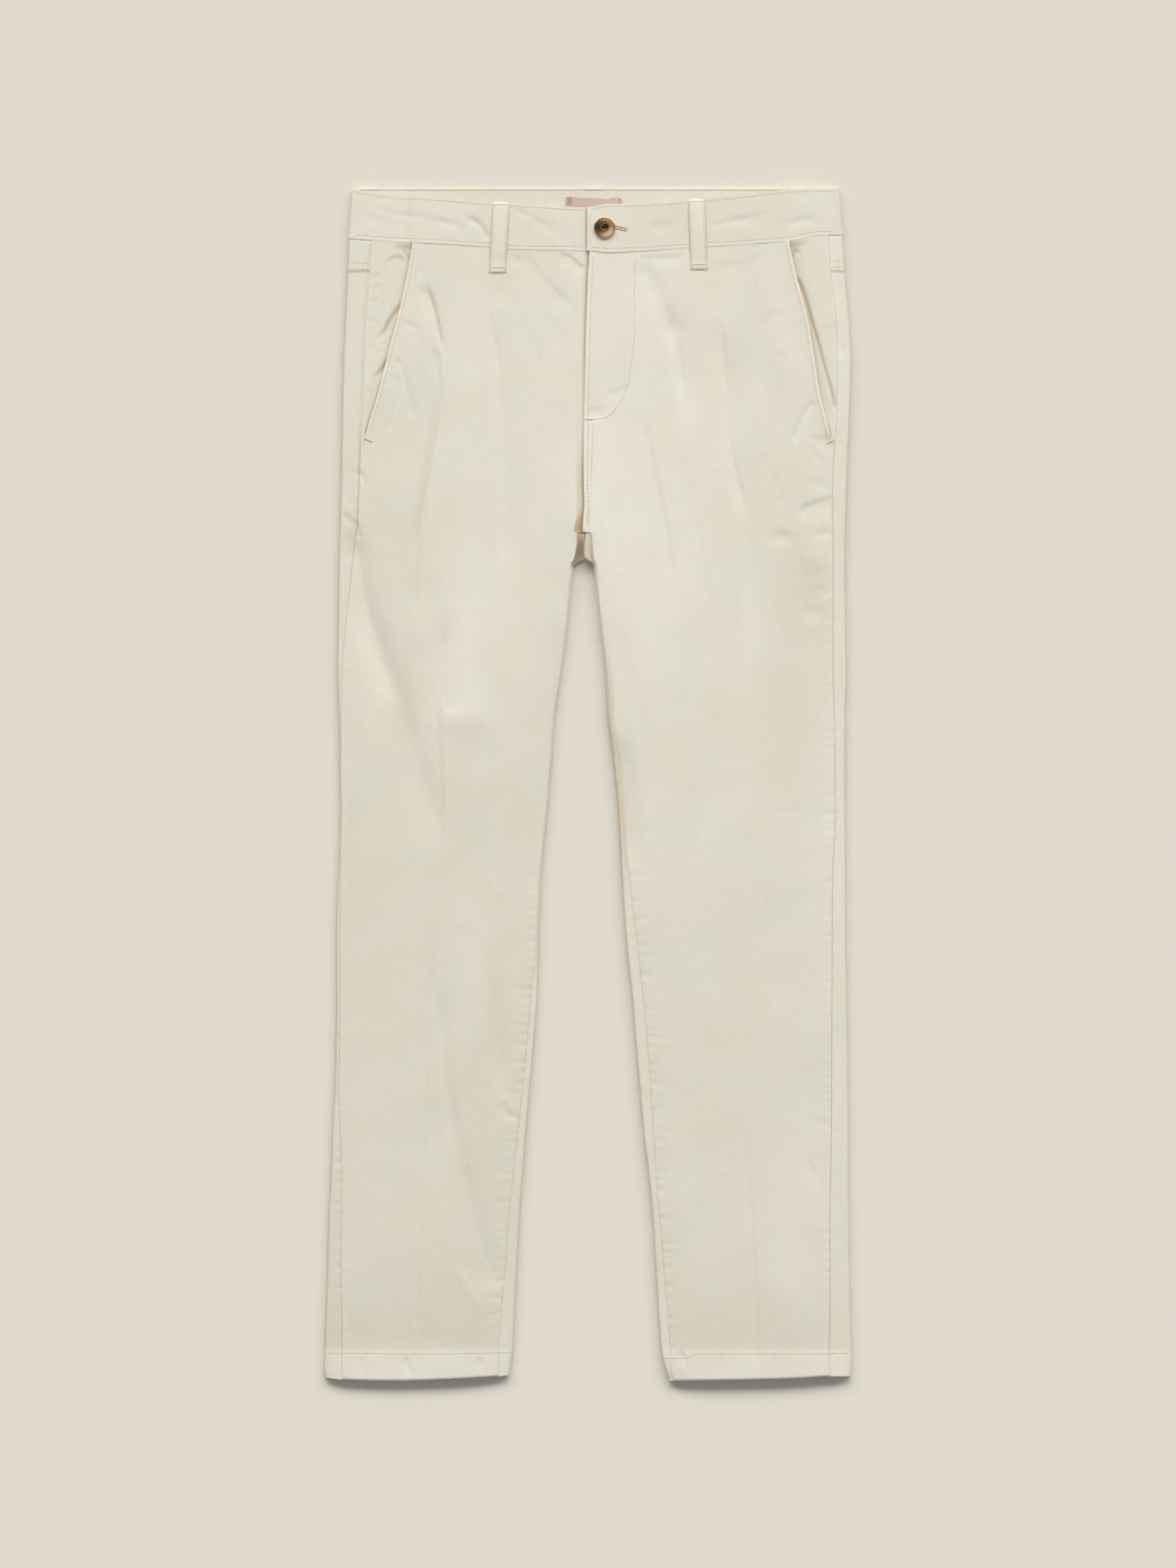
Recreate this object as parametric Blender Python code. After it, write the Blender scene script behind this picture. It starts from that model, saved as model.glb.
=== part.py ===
"""Cigarette trousers, laid flat on their back.

Frame: metres, +Z up. The garment lies on Z = 0, +Y points to the waist, and
the origin is the middle of the outline on the surface it lies on. "left" and
"right" are as seen from above. Tables and sizes are in millimetres.

Every cloth piece is a wall. The back panels lie on the surface and wrap
round the side and inner folds of each leg, up to the seams on top. The front
panels lie on them, between those seams.
"""
import math
import bpy
import bmesh
import numpy as np

MM = 0.001

# ---------------------------------------------------------------- main sizes
CLOTH = 1.2            # wall of one layer of twill
BAND = 1.6             # doubled waistband
SEAM_GAP = 0.3         # between pieces sewn edge to edge
LAYER_GAP = 0.3        # between layers that lie on each other
FOLD_RADIUS = 2.1      # outside radius of the side and inner folds
SLACK = 0.9            # loose air between front and back
EDGE_BLEND = 14.0      # width over which a panel settles beside a seam
HEM_TURN = 21.5        # depth of the turned-up hem
HEM_WALL = 1.5         # doubled, pressed hem
WAIST_SEAM_Y = 447.6   # where the panels' top stations stand
PANEL_LEVEL_Y = 419.7  # below this the rows run straight across
SEAT_X = -2.3          # seat seam, under the garment
CROTCH_Y = 206.2       # where the four seams cross
LOOP_WIDE, LOOP_LONG, LOOP_THICK = 14.0, 56.5, 1.2
BACK_LOOP_X = (-179.5, 4.3, 173.0)
FACING_UNDER = 24.0    # how far a pocket facing runs on under the front
POCKET_END_Y = 282.5
SHIELD_X = 37.5        # right edge of the underlap
SHIELD_END_Y = 300.0
LABEL = dict(x0=-17.9, x1=27.9, y0=469.5, y1=481.8, thick=1.0)
BUTTON = dict(x=13.6, y=455.8, radius=8.75, height=2.5)

# ------------------------------------------------ outline and seams of a leg
# y | outer fold | side seam | inner edge | inner seam, one row per section.
# Above the crotch the inner edge is the centre front.
COLUMNS = ("y", "outer", "side", "inner", "inseam")
LEFT_LEG = [
    (447.6, -196.4, -177.0,   1.0,   1.0),
    (431.5, -197.1, -178.0,   0.6,   0.6),
    (419.7, -197.6, -178.8,  -0.2,  -0.2),
    (396.8, -198.4, -180.9,  -1.0,  -1.0),
    (372.0, -199.7, -182.4,  -1.9,  -1.9),
    (347.5, -200.7, -183.4,  -2.5,  -2.5),
    (322.0, -201.5, -184.0,  -3.1,  -3.1),
    (303.2, -201.9, -184.5,  -3.6,  -3.6),
    (282.5, -202.2, -186.3,  -3.8,  -3.8),
    (275.0, -202.3, -186.7,  -3.8,  -3.8),
    (252.4, -202.5, -187.5,  -3.8,  -3.8),
    (230.0, -203.3, -188.3,  -3.2,  -3.2),
    (214.5, -203.8, -189.0,  -4.2,  -4.2),
    (207.2, -204.0, -189.9,  -4.5,  -4.5),
    (205.2, -204.0, -190.1,  -2.6,  -8.6),
    (196.0, -204.2, -191.4,  -2.8,  -9.3),
    (188.0, -204.4, -192.3,  -4.6, -11.0),
    (182.3, -204.5, -193.0, -11.2, -13.6),
    (171.6, -204.7, -194.1, -12.9, -14.6),
    (125.1, -205.2, -199.3, -17.5, -19.0),
    ( 90.0, -205.5, -201.8, -22.0, -23.4),
    ( 56.5, -204.5, -202.3, -27.0, -28.4),
    ( 20.0, -203.9, -202.5, -29.8, -31.2),
    (-23.6, -203.5, -202.1, -33.5, -34.9),
    (-75.1, -204.9, -203.1, -38.3, -39.8),
    (-128.7, -206.6, -203.4, -40.4, -42.2),
    (-172.3, -206.5, -203.4, -41.5, -46.5),
    (-215.9, -206.9, -203.8, -44.7, -50.4),
    (-245.2, -207.8, -204.5, -47.3, -53.1),
    (-288.9, -210.0, -203.1, -50.9, -57.9),
    (-325.3, -211.3, -202.0, -53.8, -61.8),
    (-357.5, -212.9, -202.3, -56.1, -65.1),
    (-392.0, -213.7, -202.6, -58.0, -67.6),
    (-429.0, -214.9, -202.0, -59.8, -70.8),
    (-466.2, -216.3, -201.6, -61.8, -73.3),
    (-480.5, -216.3, -201.5, -63.6, -73.4),
    (-487.6, -215.4, -201.3, -65.2, -73.6),
]
RIGHT_LEG = [
    (447.6, 209.1, 197.3,   1.0,   1.0),
    (431.5, 210.0, 198.0,   0.6,   0.6),
    (419.7, 210.7, 198.8,  -0.2,  -0.2),
    (396.8, 212.7, 202.3,  -1.0,  -1.0),
    (372.0, 215.0, 203.9,  -1.9,  -1.9),
    (347.5, 215.9, 204.5,  -2.5,  -2.5),
    (322.0, 215.2, 204.2,  -3.1,  -3.1),
    (303.2, 214.4, 203.8,  -3.6,  -3.6),
    (282.5, 213.9, 202.5,  -3.8,  -3.8),
    (275.0, 213.5, 202.0,  -3.8,  -3.8),
    (252.4, 212.5, 200.6,  -3.8,  -3.8),
    (230.0, 211.9, 200.4,  -3.2,  -3.2),
    (214.5, 211.6, 200.6,  -4.2,  -4.2),
    (207.2, 211.5, 200.7,  -4.5,  -4.5),
    (205.2, 211.4, 200.7,  -2.0,   3.9),
    (196.0, 211.3, 200.8,  -1.8,   4.2),
    (188.0, 211.2, 200.9,  -0.2,   4.8),
    (182.3, 211.1, 200.9,   3.6,   5.8),
    (171.6, 210.9, 200.9,   5.4,   7.0),
    (125.1, 211.6, 200.9,  10.7,  12.4),
    ( 90.0, 212.0, 201.0,  14.1,  15.8),
    ( 56.5, 211.1, 202.0,  16.1,  18.0),
    ( 20.0, 211.1, 202.3,  20.4,  22.4),
    (-23.6, 211.1, 202.7,  24.7,  27.0),
    (-75.1, 211.3, 200.6,  27.5,  33.6),
    (-128.7, 211.6, 200.1,  31.3,  40.0),
    (-172.3, 212.4, 200.0,  35.6,  45.0),
    (-215.9, 213.0, 199.8,  39.3,  49.1),
    (-245.2, 213.3, 199.7,  41.8,  51.1),
    (-288.9, 213.8, 199.5,  45.8,  54.0),
    (-325.3, 213.9, 198.8,  50.0,  56.1),
    (-357.5, 214.1, 198.2,  52.9,  59.0),
    (-392.0, 214.8, 198.3,  54.9,  61.9),
    (-429.0, 215.6, 198.3,  57.2,  64.7),
    (-466.2, 216.4, 197.6,  60.1,  67.6),
    (-480.5, 215.8, 197.7,  63.3,  67.9),
    (-487.6, 215.2, 198.1,  66.4,  69.6),
]
CROTCH_ROW = 13        # last row above the crotch seam

# ------------------------------------------------------- curves drawn over x
WAIST_SEAM = dict(x=(-196.4, -176.6, -145.1, -80.8, -65.0, -1.0, 17.2, 38.6, 82.2, 164.5, 189.5, 209.0),
                  y=(447.6, 445.8, 443.9, 440.2, 438.3, 437.1, 435.5, 436.4, 439.4, 444.9, 449.7, 450.5))
FRONT_EDGE = dict(x=(-193.4, -179.5, -157.3, -139.4, -108.7, -79.4, -45.8, -1.0, 15.7, 42.2, 82.2, 128.7, 175.2, 205.0),
                  y=(487.6, 485.1, 481.9, 481.2, 479.0, 476.9, 474.8, 472.5, 475.1, 475.8, 478.3, 482.9, 487.6, 488.3))
BACK_WAIST_SEAM = dict(x=(-194.3, -164.0, -115.0, -60.0, 110.0, 165.4, 206.9),
                       y=(447.4, 449.2, 450.6, 451.2, 451.2, 450.9, 450.2))
BACK_EDGE_Y = 488.9
YOKE_SIDE_Y, YOKE_SEAT_Y = 419.7, 396.0
HEM_LEFT = dict(x=(-215.2, -201.3, -157.3, -114.4, -82.2, -65.2), y=(-486.6, -487.9, -488.7, -487.4, -485.7, -484.8))
HEM_RIGHT = dict(x=(69.4, 98.0, 138.0, 171.6, 199.3, 214.5), y=(-489.0, -488.3, -487.6, -486.6, -485.1, -485.5))
MOUTH_LEFT = dict(y=(441.0, 416.1, 386.1, 352.5, 317.5, 301.0, 286.7),
                  x=(-144.4, -148.7, -155.4, -164.1, -173.0, -178.4, -182.3))
MOUTH_RIGHT = dict(y=(443.6, 420.7, 396.8, 376.4, 347.9, 319.4, 296.7, 281.7),
                   x=(165.2, 169.7, 175.9, 181.1, 185.6, 190.2, 195.9, 199.5))

# ------------------------------------------------------- largest soft folds
# start, middle and end point | half width | height
FOLDS = [
    ("thigh_fold_left",   -198.0, 222.0, -170.0, 100.0, -124.0, -30.0, 16.0, 2.6),
    ("hip_fold_left",     -141.0, 410.0, -121.0, 320.0, -143.0, 195.0, 13.0, 1.6),
    ("knee_fold_left",    -122.0, -205.0, -106.0, -300.0, -76.0, -410.0, 15.0, 2.2),
    ("pressed_left",      -119.0, 90.0, -131.0, -215.0, -140.0, -480.0, 9.0, 0.9),
    ("pressed_right",     113.0, 100.0, 130.5, -255.0, 139.4, -480.0, 9.0, 0.9),
    ("fly_fold_right",    42.0, 430.0, 62.0, 395.0, 74.0, 330.0, 12.0, 1.5),
    ("thigh_fold_right",  76.0, 280.0, 96.0, 190.0, 112.0, 90.0, 14.0, 1.6),
    ("hip_wrinkle_right", 150.0, 215.0, 178.0, 232.0, 199.0, 237.0, 7.0, 1.5),
]

COLOURS = dict(twill=((0.760, 0.700, 0.590), 0.88, 0.0), band=((0.770, 0.712, 0.604), 0.88, 0.0),
               inside=((0.720, 0.660, 0.550), 0.90, 0.0), loop=((0.790, 0.735, 0.630), 0.88, 0.0),
               satin=((0.780, 0.600, 0.540), 0.42, 0.0), rose_metal=((0.660, 0.440, 0.330), 0.28, 1.0))


# ------------------------------------------------------------------- helpers
def rows_of(table):
    return [dict(zip(COLUMNS, row)) for row in table]


def curve(table, at, along="x", value="y"):
    return float(np.interp(at, table[along], table[value])) if table[along][0] < table[along][-1] else \
        float(np.interp(at, table[along][::-1], table[value][::-1]))


def smooth(value):
    value = min(1.0, max(0.0, value))
    return value * value * (3.0 - 2.0 * value)


def back_lift(x, y):
    """How far the back layers ride up over the belt loops under them."""
    lift = 0.0
    for loop_x in BACK_LOOP_X:
        across = 1.0 - smooth((abs(x - loop_x) - 7.6) / 8.0)
        along = smooth((y - 422.5) / 9.0)
        lift = max(lift, across * along)
    return lift * (LOOP_THICK + LAYER_GAP)


def fold_height(x, y):
    """Soft ridges, each a quadratic curve with a raised-cosine section."""
    total = 0.0
    for _, x0, y0, xm, ym, x1, y1, half, height in FOLDS:
        if not (min(y0, ym, y1) - half <= y <= max(y0, ym, y1) + half):
            continue
        u = np.linspace(0.0, 1.0, 25)
        cx, cy = 2.0 * xm - 0.5 * (x0 + x1), 2.0 * ym - 0.5 * (y0 + y1)
        px = (1 - u) ** 2 * x0 + 2 * u * (1 - u) * cx + u ** 2 * x1
        py = (1 - u) ** 2 * y0 + 2 * u * (1 - u) * cy + u ** 2 * y1
        gap = np.hypot(px - x, py - y)
        k = int(np.argmin(gap))
        if gap[k] < half:
            fade = min(1.0, 4.0 * u[k] + 0.05, 4.0 * (1.0 - u[k]) + 0.05)
            total += height * fade * 0.5 * (1.0 + math.cos(math.pi * gap[k] / half))
    return total


class Leg:
    """Sections of one leg: where its folds and seams are, and its heights."""

    def __init__(self, table, inward, mouth, hem):
        self.rows = rows_of(table)
        self.inward = inward          # +1 where the inside of the leg is at +X
        self.mouth = mouth
        self.hem = hem
        self.quarter = 0.5 * math.pi * FOLD_RADIUS

    def row_at(self, y):
        ys = [row["y"] for row in self.rows][::-1]
        return {c: float(np.interp(y, ys, [row[c] for row in self.rows][::-1])) for c in COLUMNS}

    def inset(self, row, x):
        return (x - row["outer"]) * self.inward

    def arc_of_inset(self, inset):
        if inset >= FOLD_RADIUS:
            return self.quarter + inset - FOLD_RADIUS
        return FOLD_RADIUS * math.acos(1.0 - max(inset, 0.02) / FOLD_RADIUS)

    def side_arc(self, row):
        return self.arc_of_inset(self.inset(row, row["side"]))

    def inner_arc(self, row):
        return self.arc_of_inset((row["inner"] - row["inseam"]) * self.inward)

    def girth(self, row):
        """Length over the top, from the outer fold to the inner one."""
        return (row["inner"] - row["outer"]) * self.inward - 2 * FOLD_RADIUS + 2 * self.quarter

    def under_layers(self, x, y):
        """Layers hidden between the back and the front at a place."""
        facing = 1.0 - smooth((x - (curve(self.mouth, y, "y", "x") + self.inward * FACING_UNDER)) * self.inward / 9.0)
        facing *= smooth((y - POCKET_END_Y + 10.0) / 8.0)
        shield = 0.0
        if self.inward < 0:
            shield = (1.0 - smooth((x - SHIELD_X - 1.0) / 8.0)) * smooth((y - SHIELD_END_Y + 9.0) / 8.0)
        return (CLOTH + LAYER_GAP) * max(facing, shield)

    def front_under(self, row, x, y, closed):
        """Underside of the front panel."""
        calm = CLOTH + LAYER_GAP + SLACK + self.under_layers(x, y) + back_lift(x, y)
        seam = 2 * FOLD_RADIUS - CLOTH
        near = (x - row["side"]) * self.inward
        height = seam + (calm - seam) * smooth(near / EDGE_BLEND)
        if closed:
            far = (row["inseam"] - x) * self.inward
            height = seam + (height - seam) * smooth(far / EDGE_BLEND)
        else:
            far = 99.0
        return height + fold_height(x, y) * smooth(near / 10.0 + 0.2) * smooth(far / 10.0 + 0.2)

    def point(self, row, arc, y, closed, deep, wall=CLOTH, lifted=True):
        """A point at an arc length over the top from the outer fold. deep = 0
        gives the outside of the wall and 1 its inside; negative arcs run under."""
        q, r = self.quarter, FOLD_RADIUS - wall * deep
        girth = self.girth(row)
        if -q <= arc <= q:
            angle = arc / FOLD_RADIUS
            return (row["outer"] + self.inward * (FOLD_RADIUS - r * math.cos(angle)),
                    FOLD_RADIUS + r * math.sin(angle))
        if closed and arc >= girth - q:
            angle = (girth - arc) / FOLD_RADIUS
            return (row["inner"] - self.inward * (FOLD_RADIUS - r * math.cos(angle)),
                    FOLD_RADIUS + r * math.sin(angle))
        if arc > q:
            x = row["outer"] + self.inward * (FOLD_RADIUS + arc - q)
            return x, self.front_under(row, x, y, closed) + CLOTH - wall * deep
        x = row["outer"] + self.inward * (FOLD_RADIUS - arc - q)
        return x, back_lift(x, y) + wall * deep


LEFT = Leg(LEFT_LEG, +1, MOUTH_LEFT, HEM_LEFT)
RIGHT = Leg(RIGHT_LEG, -1, MOUTH_RIGHT, HEM_RIGHT)


def wall_solid(name, outside, inside, use, colour, flip):
    """A closed wall from two grids of points. use[i][j] keeps a cell; each
    free edge of the kept cells is closed by a rim."""
    outside, inside = np.asarray(outside, float) * MM, np.asarray(inside, float) * MM
    n, m = outside.shape[:2]
    mesh = bmesh.new()
    made = {}

    def vertex(side, i, j):
        key = (side, i, j)
        if key not in made:
            made[key] = mesh.verts.new((outside if side == 0 else inside)[i, j])
        return made[key]

    edges = {}
    for i in range(n - 1):
        for j in range(m - 1):
            if use is not None and not use[i][j]:
                continue
            ring = [(i, j), (i + 1, j), (i + 1, j + 1), (i, j + 1)]
            if flip:
                ring.reverse()
            mesh.faces.new([vertex(0, *c) for c in ring])
            mesh.faces.new([vertex(1, *c) for c in reversed(ring)])
            for a, b in zip(ring, ring[1:] + ring[:1]):
                if (b, a) in edges:
                    del edges[(b, a)]
                else:
                    edges[(a, b)] = True
    for a, b in edges:
        mesh.faces.new([vertex(0, *b), vertex(0, *a), vertex(1, *a), vertex(1, *b)])
    return finish(name, mesh, colour)


def finish(name, mesh, colour):
    bmesh.ops.triangulate(mesh, faces=mesh.faces[:])
    bmesh.ops.recalc_face_normals(mesh, faces=mesh.faces[:])
    data = bpy.data.meshes.new(name)
    mesh.to_mesh(data)
    mesh.free()
    data.shade_smooth()
    data.set_sharp_from_angle(angle=math.radians(35))
    thing = bpy.data.objects.new(name, data)
    bpy.context.scene.collection.objects.link(thing)
    data.materials.append(material(colour))
    return thing


def material(colour):
    found = bpy.data.materials.get(colour)
    if found:
        return found
    tint, rough, metal = COLOURS[colour]
    made = bpy.data.materials.new(colour)
    made.use_nodes = True
    shader = made.node_tree.nodes["Principled BSDF"]
    shader.inputs["Base Color"].default_value = (*tint, 1.0)
    shader.inputs["Roughness"].default_value = rough
    shader.inputs["Metallic"].default_value = metal
    return made


def settle_y(y, x, limit_y, low_y, high_y):
    """Rows above low_y spread so that the row at high_y follows limit_y."""
    if y <= low_y:
        return y
    return low_y + (y - low_y) * (limit_y - low_y) / (high_y - low_y)


def hem_y(leg, x, y, extra=0.0):
    """Rows in the hem spread so that the last follows the hem's edge."""
    if y >= -466.2:
        return y
    end = curve(leg.hem, x) - extra
    return -466.2 + (y + 466.2) * (end + 466.2) / (-487.6 + 466.2)


def wall_at(y):
    return HEM_WALL if y < -466.0 else CLOTH


# --------------------------------------------------------------- front panel
BESIDE_SEAM = (0.0, 3.0, 8.0, 15.0, 24.0)    # columns next to the side seam or mouth
FRONT_CELLS = 13


def front_arcs(leg, k):
    """Arc lengths of the columns of a front panel in row k."""
    row, closed, half = leg.rows[k], k > CROTCH_ROW, 0.5 * SEAM_GAP
    start = leg.side_arc(row) + half
    if row["y"] > POCKET_END_Y - 1.0:
        start = leg.arc_of_inset(leg.inset(row, curve(leg.mouth, row["y"], "y", "x")))
    if closed:
        stop = leg.girth(row) - leg.inner_arc(row) - half
        last = min(stop - 1.0, leg.girth(row) - leg.quarter)
    else:
        stop = leg.arc_of_inset(leg.inset(row, row["inner"])) - half
        last = stop - 2.5
    beside = [start] + [max(start, leg.quarter - 0.8) + step for step in BESIDE_SEAM[1:]]
    rest = FRONT_CELLS - len(beside)
    return beside + [beside[-1] + (last - beside[-1]) * c / rest for c in range(1, rest + 1)] + [stop]


def front_panel(name, leg):
    out, ins = [], []
    for k, row in enumerate(leg.rows):
        y, closed = row["y"], k > CROTCH_ROW
        line_out, line_in = [], []
        for arc in front_arcs(leg, k):
            x, _ = leg.point(row, arc, y, closed, 0)
            yy = settle_y(y, x, curve(WAIST_SEAM, x) - 0.5 * SEAM_GAP, PANEL_LEVEL_Y, WAIST_SEAM_Y)
            yy = hem_y(leg, x, yy)
            for deep, line in ((0, line_out), (1, line_in)):
                px, pz = leg.point(row, arc, yy, closed, deep, wall_at(y))
                line.append((px, yy, pz))
        out.append(line_out)
        ins.append(line_in)
    return wall_solid(name, out, ins, None, "twill", leg.inward < 0)


# ---------------------------------------------------------------- back panel
def back_arcs(leg, row, floor_x):
    """Arc lengths of the columns of a back panel, from the side seam down
    round the outer fold and along the underside to each x in floor_x."""
    q, half = leg.quarter, 0.5 * SEAM_GAP
    seam = leg.side_arc(row) - half
    bend = min(q, 0.75 * seam)
    arcs = [seam, 0.5 * (seam + bend), bend, 0.5 * bend, 0.0, -0.5 * q, -q]
    return arcs + [FOLD_RADIUS - q - leg.inset(row, x) for x in floor_x]


def back_panel(name, leg):
    half = 0.5 * SEAM_GAP
    out, ins, use = [], [], []
    for k, row in enumerate(leg.rows[2:], start=2):
        y, closed = row["y"], k > CROTCH_ROW
        end = row["inner"] - leg.inward * FOLD_RADIUS if closed else SEAT_X - leg.inward * half
        begin = row["outer"] + leg.inward * FOLD_RADIUS
        floor = [begin + (end - begin) * c / 4.0 for c in (1, 2, 3, 4)]
        arcs = back_arcs(leg, row, floor)
        line_out, line_in = [], []
        for arc in arcs:
            x, _ = leg.point(row, arc, y, closed, 0)
            span = 0.0 if arc > -leg.quarter else leg.inset(row, x) / abs(SEAT_X - row["outer"])
            top = YOKE_SIDE_Y + (YOKE_SEAT_Y - YOKE_SIDE_Y) * min(1.0, span) - half
            yy = settle_y(y, x, top, 347.5, leg.rows[2]["y"])
            yy = hem_y(leg, x, yy, 0.8 if arc < 0 else 0.0)
            for deep, line in ((0, line_out), (1, line_in)):
                px, pz = leg.point(row, arc, yy, closed, deep, wall_at(y))
                line.append((px, yy, pz))
        # inner fold, up to the inner seam
        girth, q = leg.girth(row), leg.quarter
        seam = leg.inner_arc(row) - half
        bend = min(q, 0.75 * seam)
        for arc in (-0.5 * q, 0.0, 0.5 * bend, bend, 0.5 * (seam + bend), seam):
            for deep, line in ((0, line_out), (1, line_in)):
                if closed:
                    angle = arc / FOLD_RADIUS
                    r = FOLD_RADIUS - wall_at(y) * deep
                    if arc <= q:
                        px = row["inner"] - leg.inward * (FOLD_RADIUS - r * math.cos(angle))
                        pz = FOLD_RADIUS + r * math.sin(angle)
                    else:
                        px, pz = leg.point(row, girth - arc, y, True, deep, wall_at(y))
                    line.append((px, hem_y(leg, px, y, 0.8 if arc < 0 else 0.0), pz))
                else:
                    line.append(line[-1])
        out.append(line_out)
        ins.append(line_in)
    for i in range(len(out) - 1):
        above = i + 2 <= CROTCH_ROW
        use.append([not (above and j >= 10) for j in range(len(out[0]) - 1)])
    return wall_solid(name, out, ins, use, "twill", leg.inward > 0)


# ---------------------------------------------------------------------- yoke
def yoke(name, leg, floor_x):
    half = 0.5 * SEAM_GAP
    out, ins = [], []
    for step, y_level in ((0.0, None), (0.12, 423.0), (0.45, 431.5), (1.0, None)):
        row = leg.rows[0] if step == 1.0 else leg.rows[1] if step > 0.2 else leg.rows[2]
        line_out, line_in = [], []
        for arc in back_arcs(leg, row, floor_x + [SEAT_X - leg.inward * half]):
            x, _ = leg.point(row, arc, row["y"], False, 0)
            span = 0.0 if arc > -leg.quarter else leg.inset(row, x) / abs(SEAT_X - row["outer"])
            low = YOKE_SIDE_Y + (YOKE_SEAT_Y - YOKE_SIDE_Y) * min(1.0, span) + half
            high = curve(WAIST_SEAM if arc > -0.9 * leg.quarter else BACK_WAIST_SEAM, x) - half
            y = low if step == 0.0 else high if step == 1.0 else y_level
            for deep, line in ((0, line_out), (1, line_in)):
                px, pz = leg.point(row, arc, y, False, deep)
                line.append((px, y, pz))
        out.append(line_out)
        ins.append(line_in)
    return wall_solid(name, out, ins, None, "twill", leg.inward < 0)


# ----------------------------------------------------------------- waistband
BAND_RADIUS = 2.3
BAND_UNDER = BAND + LAYER_GAP + 1.3          # underside of the front layer


def band_under(x, right):
    """Underside of the front half of the band."""
    calm = BAND_UNDER + back_lift(x, 470.0)
    if right:
        calm += (BAND + LAYER_GAP) * (1.0 - smooth((x - SHIELD_X - 2.0) / 10.0))
    edge = 2 * BAND_RADIUS - BAND
    gap = (206.0 - x) if right else (x + 195.0)
    return edge + (calm - edge) * smooth(gap / 18.0)


def band_path():
    """Stations along the band: layer, x or fold angle."""
    left = [("under", x) for x in (37.4, 27.9, 19.8, 11.8, 6.0)]
    left += [("left", x) for x in (-0.9, -3.2, -11.2, -17.9, -40.0, -65.0, -90.0, -120.0, -150.0, -164.0, -172.0, -187.0)]
    back = [("back", x) for x in (-187.0, -171.5, -164.0, -115.0, -60.0, -17.9, -11.2, -3.2, 11.8, 19.8, 27.9, 60.0, 110.0,
                                  157.5, 165.4, 180.6, 188.5)]
    right = [("right", x) for x in (188.5, 180.5, 165.5, 130.0, 100.0, 75.0, 49.5, 44.0, 39.5, 37.4, 27.9, 19.8, 11.8, 6.0, -0.7)]
    turn = (90, 45, 0, -45, -90)
    return left + [("fold_left", a) for a in turn] + back + [("fold_right", -a) for a in turn] + right


def waistband():
    half = 0.5 * SEAM_GAP
    out, ins = [], []
    levels = (0.0, 0.33, 0.67, 1.0)
    for kind, value in band_path():
        line_out, line_in = [], []
        for level in levels:
            for deep, line in ((0, line_out), (1, line_in)):
                if kind.startswith("fold"):
                    side = -1 if kind == "fold_left" else 1
                    angle = math.radians(value)
                    r = BAND_RADIUS - BAND * deep
                    front = 0.5 + 0.5 * math.sin(angle)
                    edge = (-196.4 + 3.0 * level) if side < 0 else (208.6 - 3.4 * level)
                    seam = 447.6 if side < 0 else 450.4
                    low = seam + half + 0.2 * (1 - front)
                    high = (487.6 if side < 0 else 488.3) * front + BACK_EDGE_Y * (1 - front)
                    x = edge - side * (BAND_RADIUS - r * math.cos(angle))
                    z = BAND_RADIUS + r * math.sin(angle)
                elif kind == "back":
                    x = value
                    low, high = curve(BACK_WAIST_SEAM, x) + half, BACK_EDGE_Y
                    z = back_lift(x, 470.0) + BAND * deep
                else:
                    x = value
                    low, high = curve(WAIST_SEAM, x) + half, curve(FRONT_EDGE, x)
                    if kind == "under":
                        low, high = low + 1.0, high - 1.6
                    z = band_under(x, kind == "right") + BAND * (1 - deep)
                line.append((x, low + (high - low) * level, z))
        out.append(line_out)
        ins.append(line_in)
    return wall_solid("waistband", out, ins, None, "band", True)


# ------------------------------------------------------------ pocket facings
def pocket_facing(name, leg):
    """From the side seam to the mouth, then on under the front panel, made
    from that panel's own columns moved down."""
    out, ins = [], []
    for k, row in enumerate(leg.rows):
        y = row["y"]
        if y < POCKET_END_Y - 1.0:
            break
        start = row["side"] + leg.inward * 0.5 * SEAM_GAP
        columns = [leg.point(row, arc, y, False, 0)[0] for arc in front_arcs(leg, k)[:5]]
        mouth = columns[0]
        places = [start + (mouth - start) * c / 3.0 for c in range(3)] + columns
        line_out, line_in = [], []
        for x in places:
            yy = settle_y(y, x, curve(WAIST_SEAM, x) - 0.5 * SEAM_GAP, PANEL_LEVEL_Y, WAIST_SEAM_Y)
            under = leg.front_under(row, x, yy, False) - LAYER_GAP
            share = smooth((x - start) / (mouth - start) * 1.15)
            top = 2 * FOLD_RADIUS * (1 - share) + under * share
            line_out.append((x, yy, top))
            line_in.append((x, yy, top - CLOTH))
        out.append(line_out)
        ins.append(line_in)
    return wall_solid(name, out, ins, None, "inside", leg.inward < 0)


def fly_shield():
    out, ins = [], []
    for row in RIGHT.rows:
        if row["y"] < 297.0:
            break
        y = max(row["y"], SHIELD_END_Y)
        taper = smooth((y - SHIELD_END_Y) / 40.0)
        start = row["inner"] + 0.5 * SEAM_GAP
        stop = 24.0 + (SHIELD_X - 24.0) * taper
        line_out, line_in = [], []
        for x in (start, 4.5, 11.8, 19.8, stop):
            yy = settle_y(y, x, curve(WAIST_SEAM, x) - 0.15, PANEL_LEVEL_Y, WAIST_SEAM_Y)
            base = CLOTH + 0.5 + back_lift(x, yy)
            line_out.append((x, yy, base + CLOTH))
            line_in.append((x, yy, base))
        out.append(line_out)
        ins.append(line_in)
    return wall_solid("fly_shield", out, ins, None, "inside", False)


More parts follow.
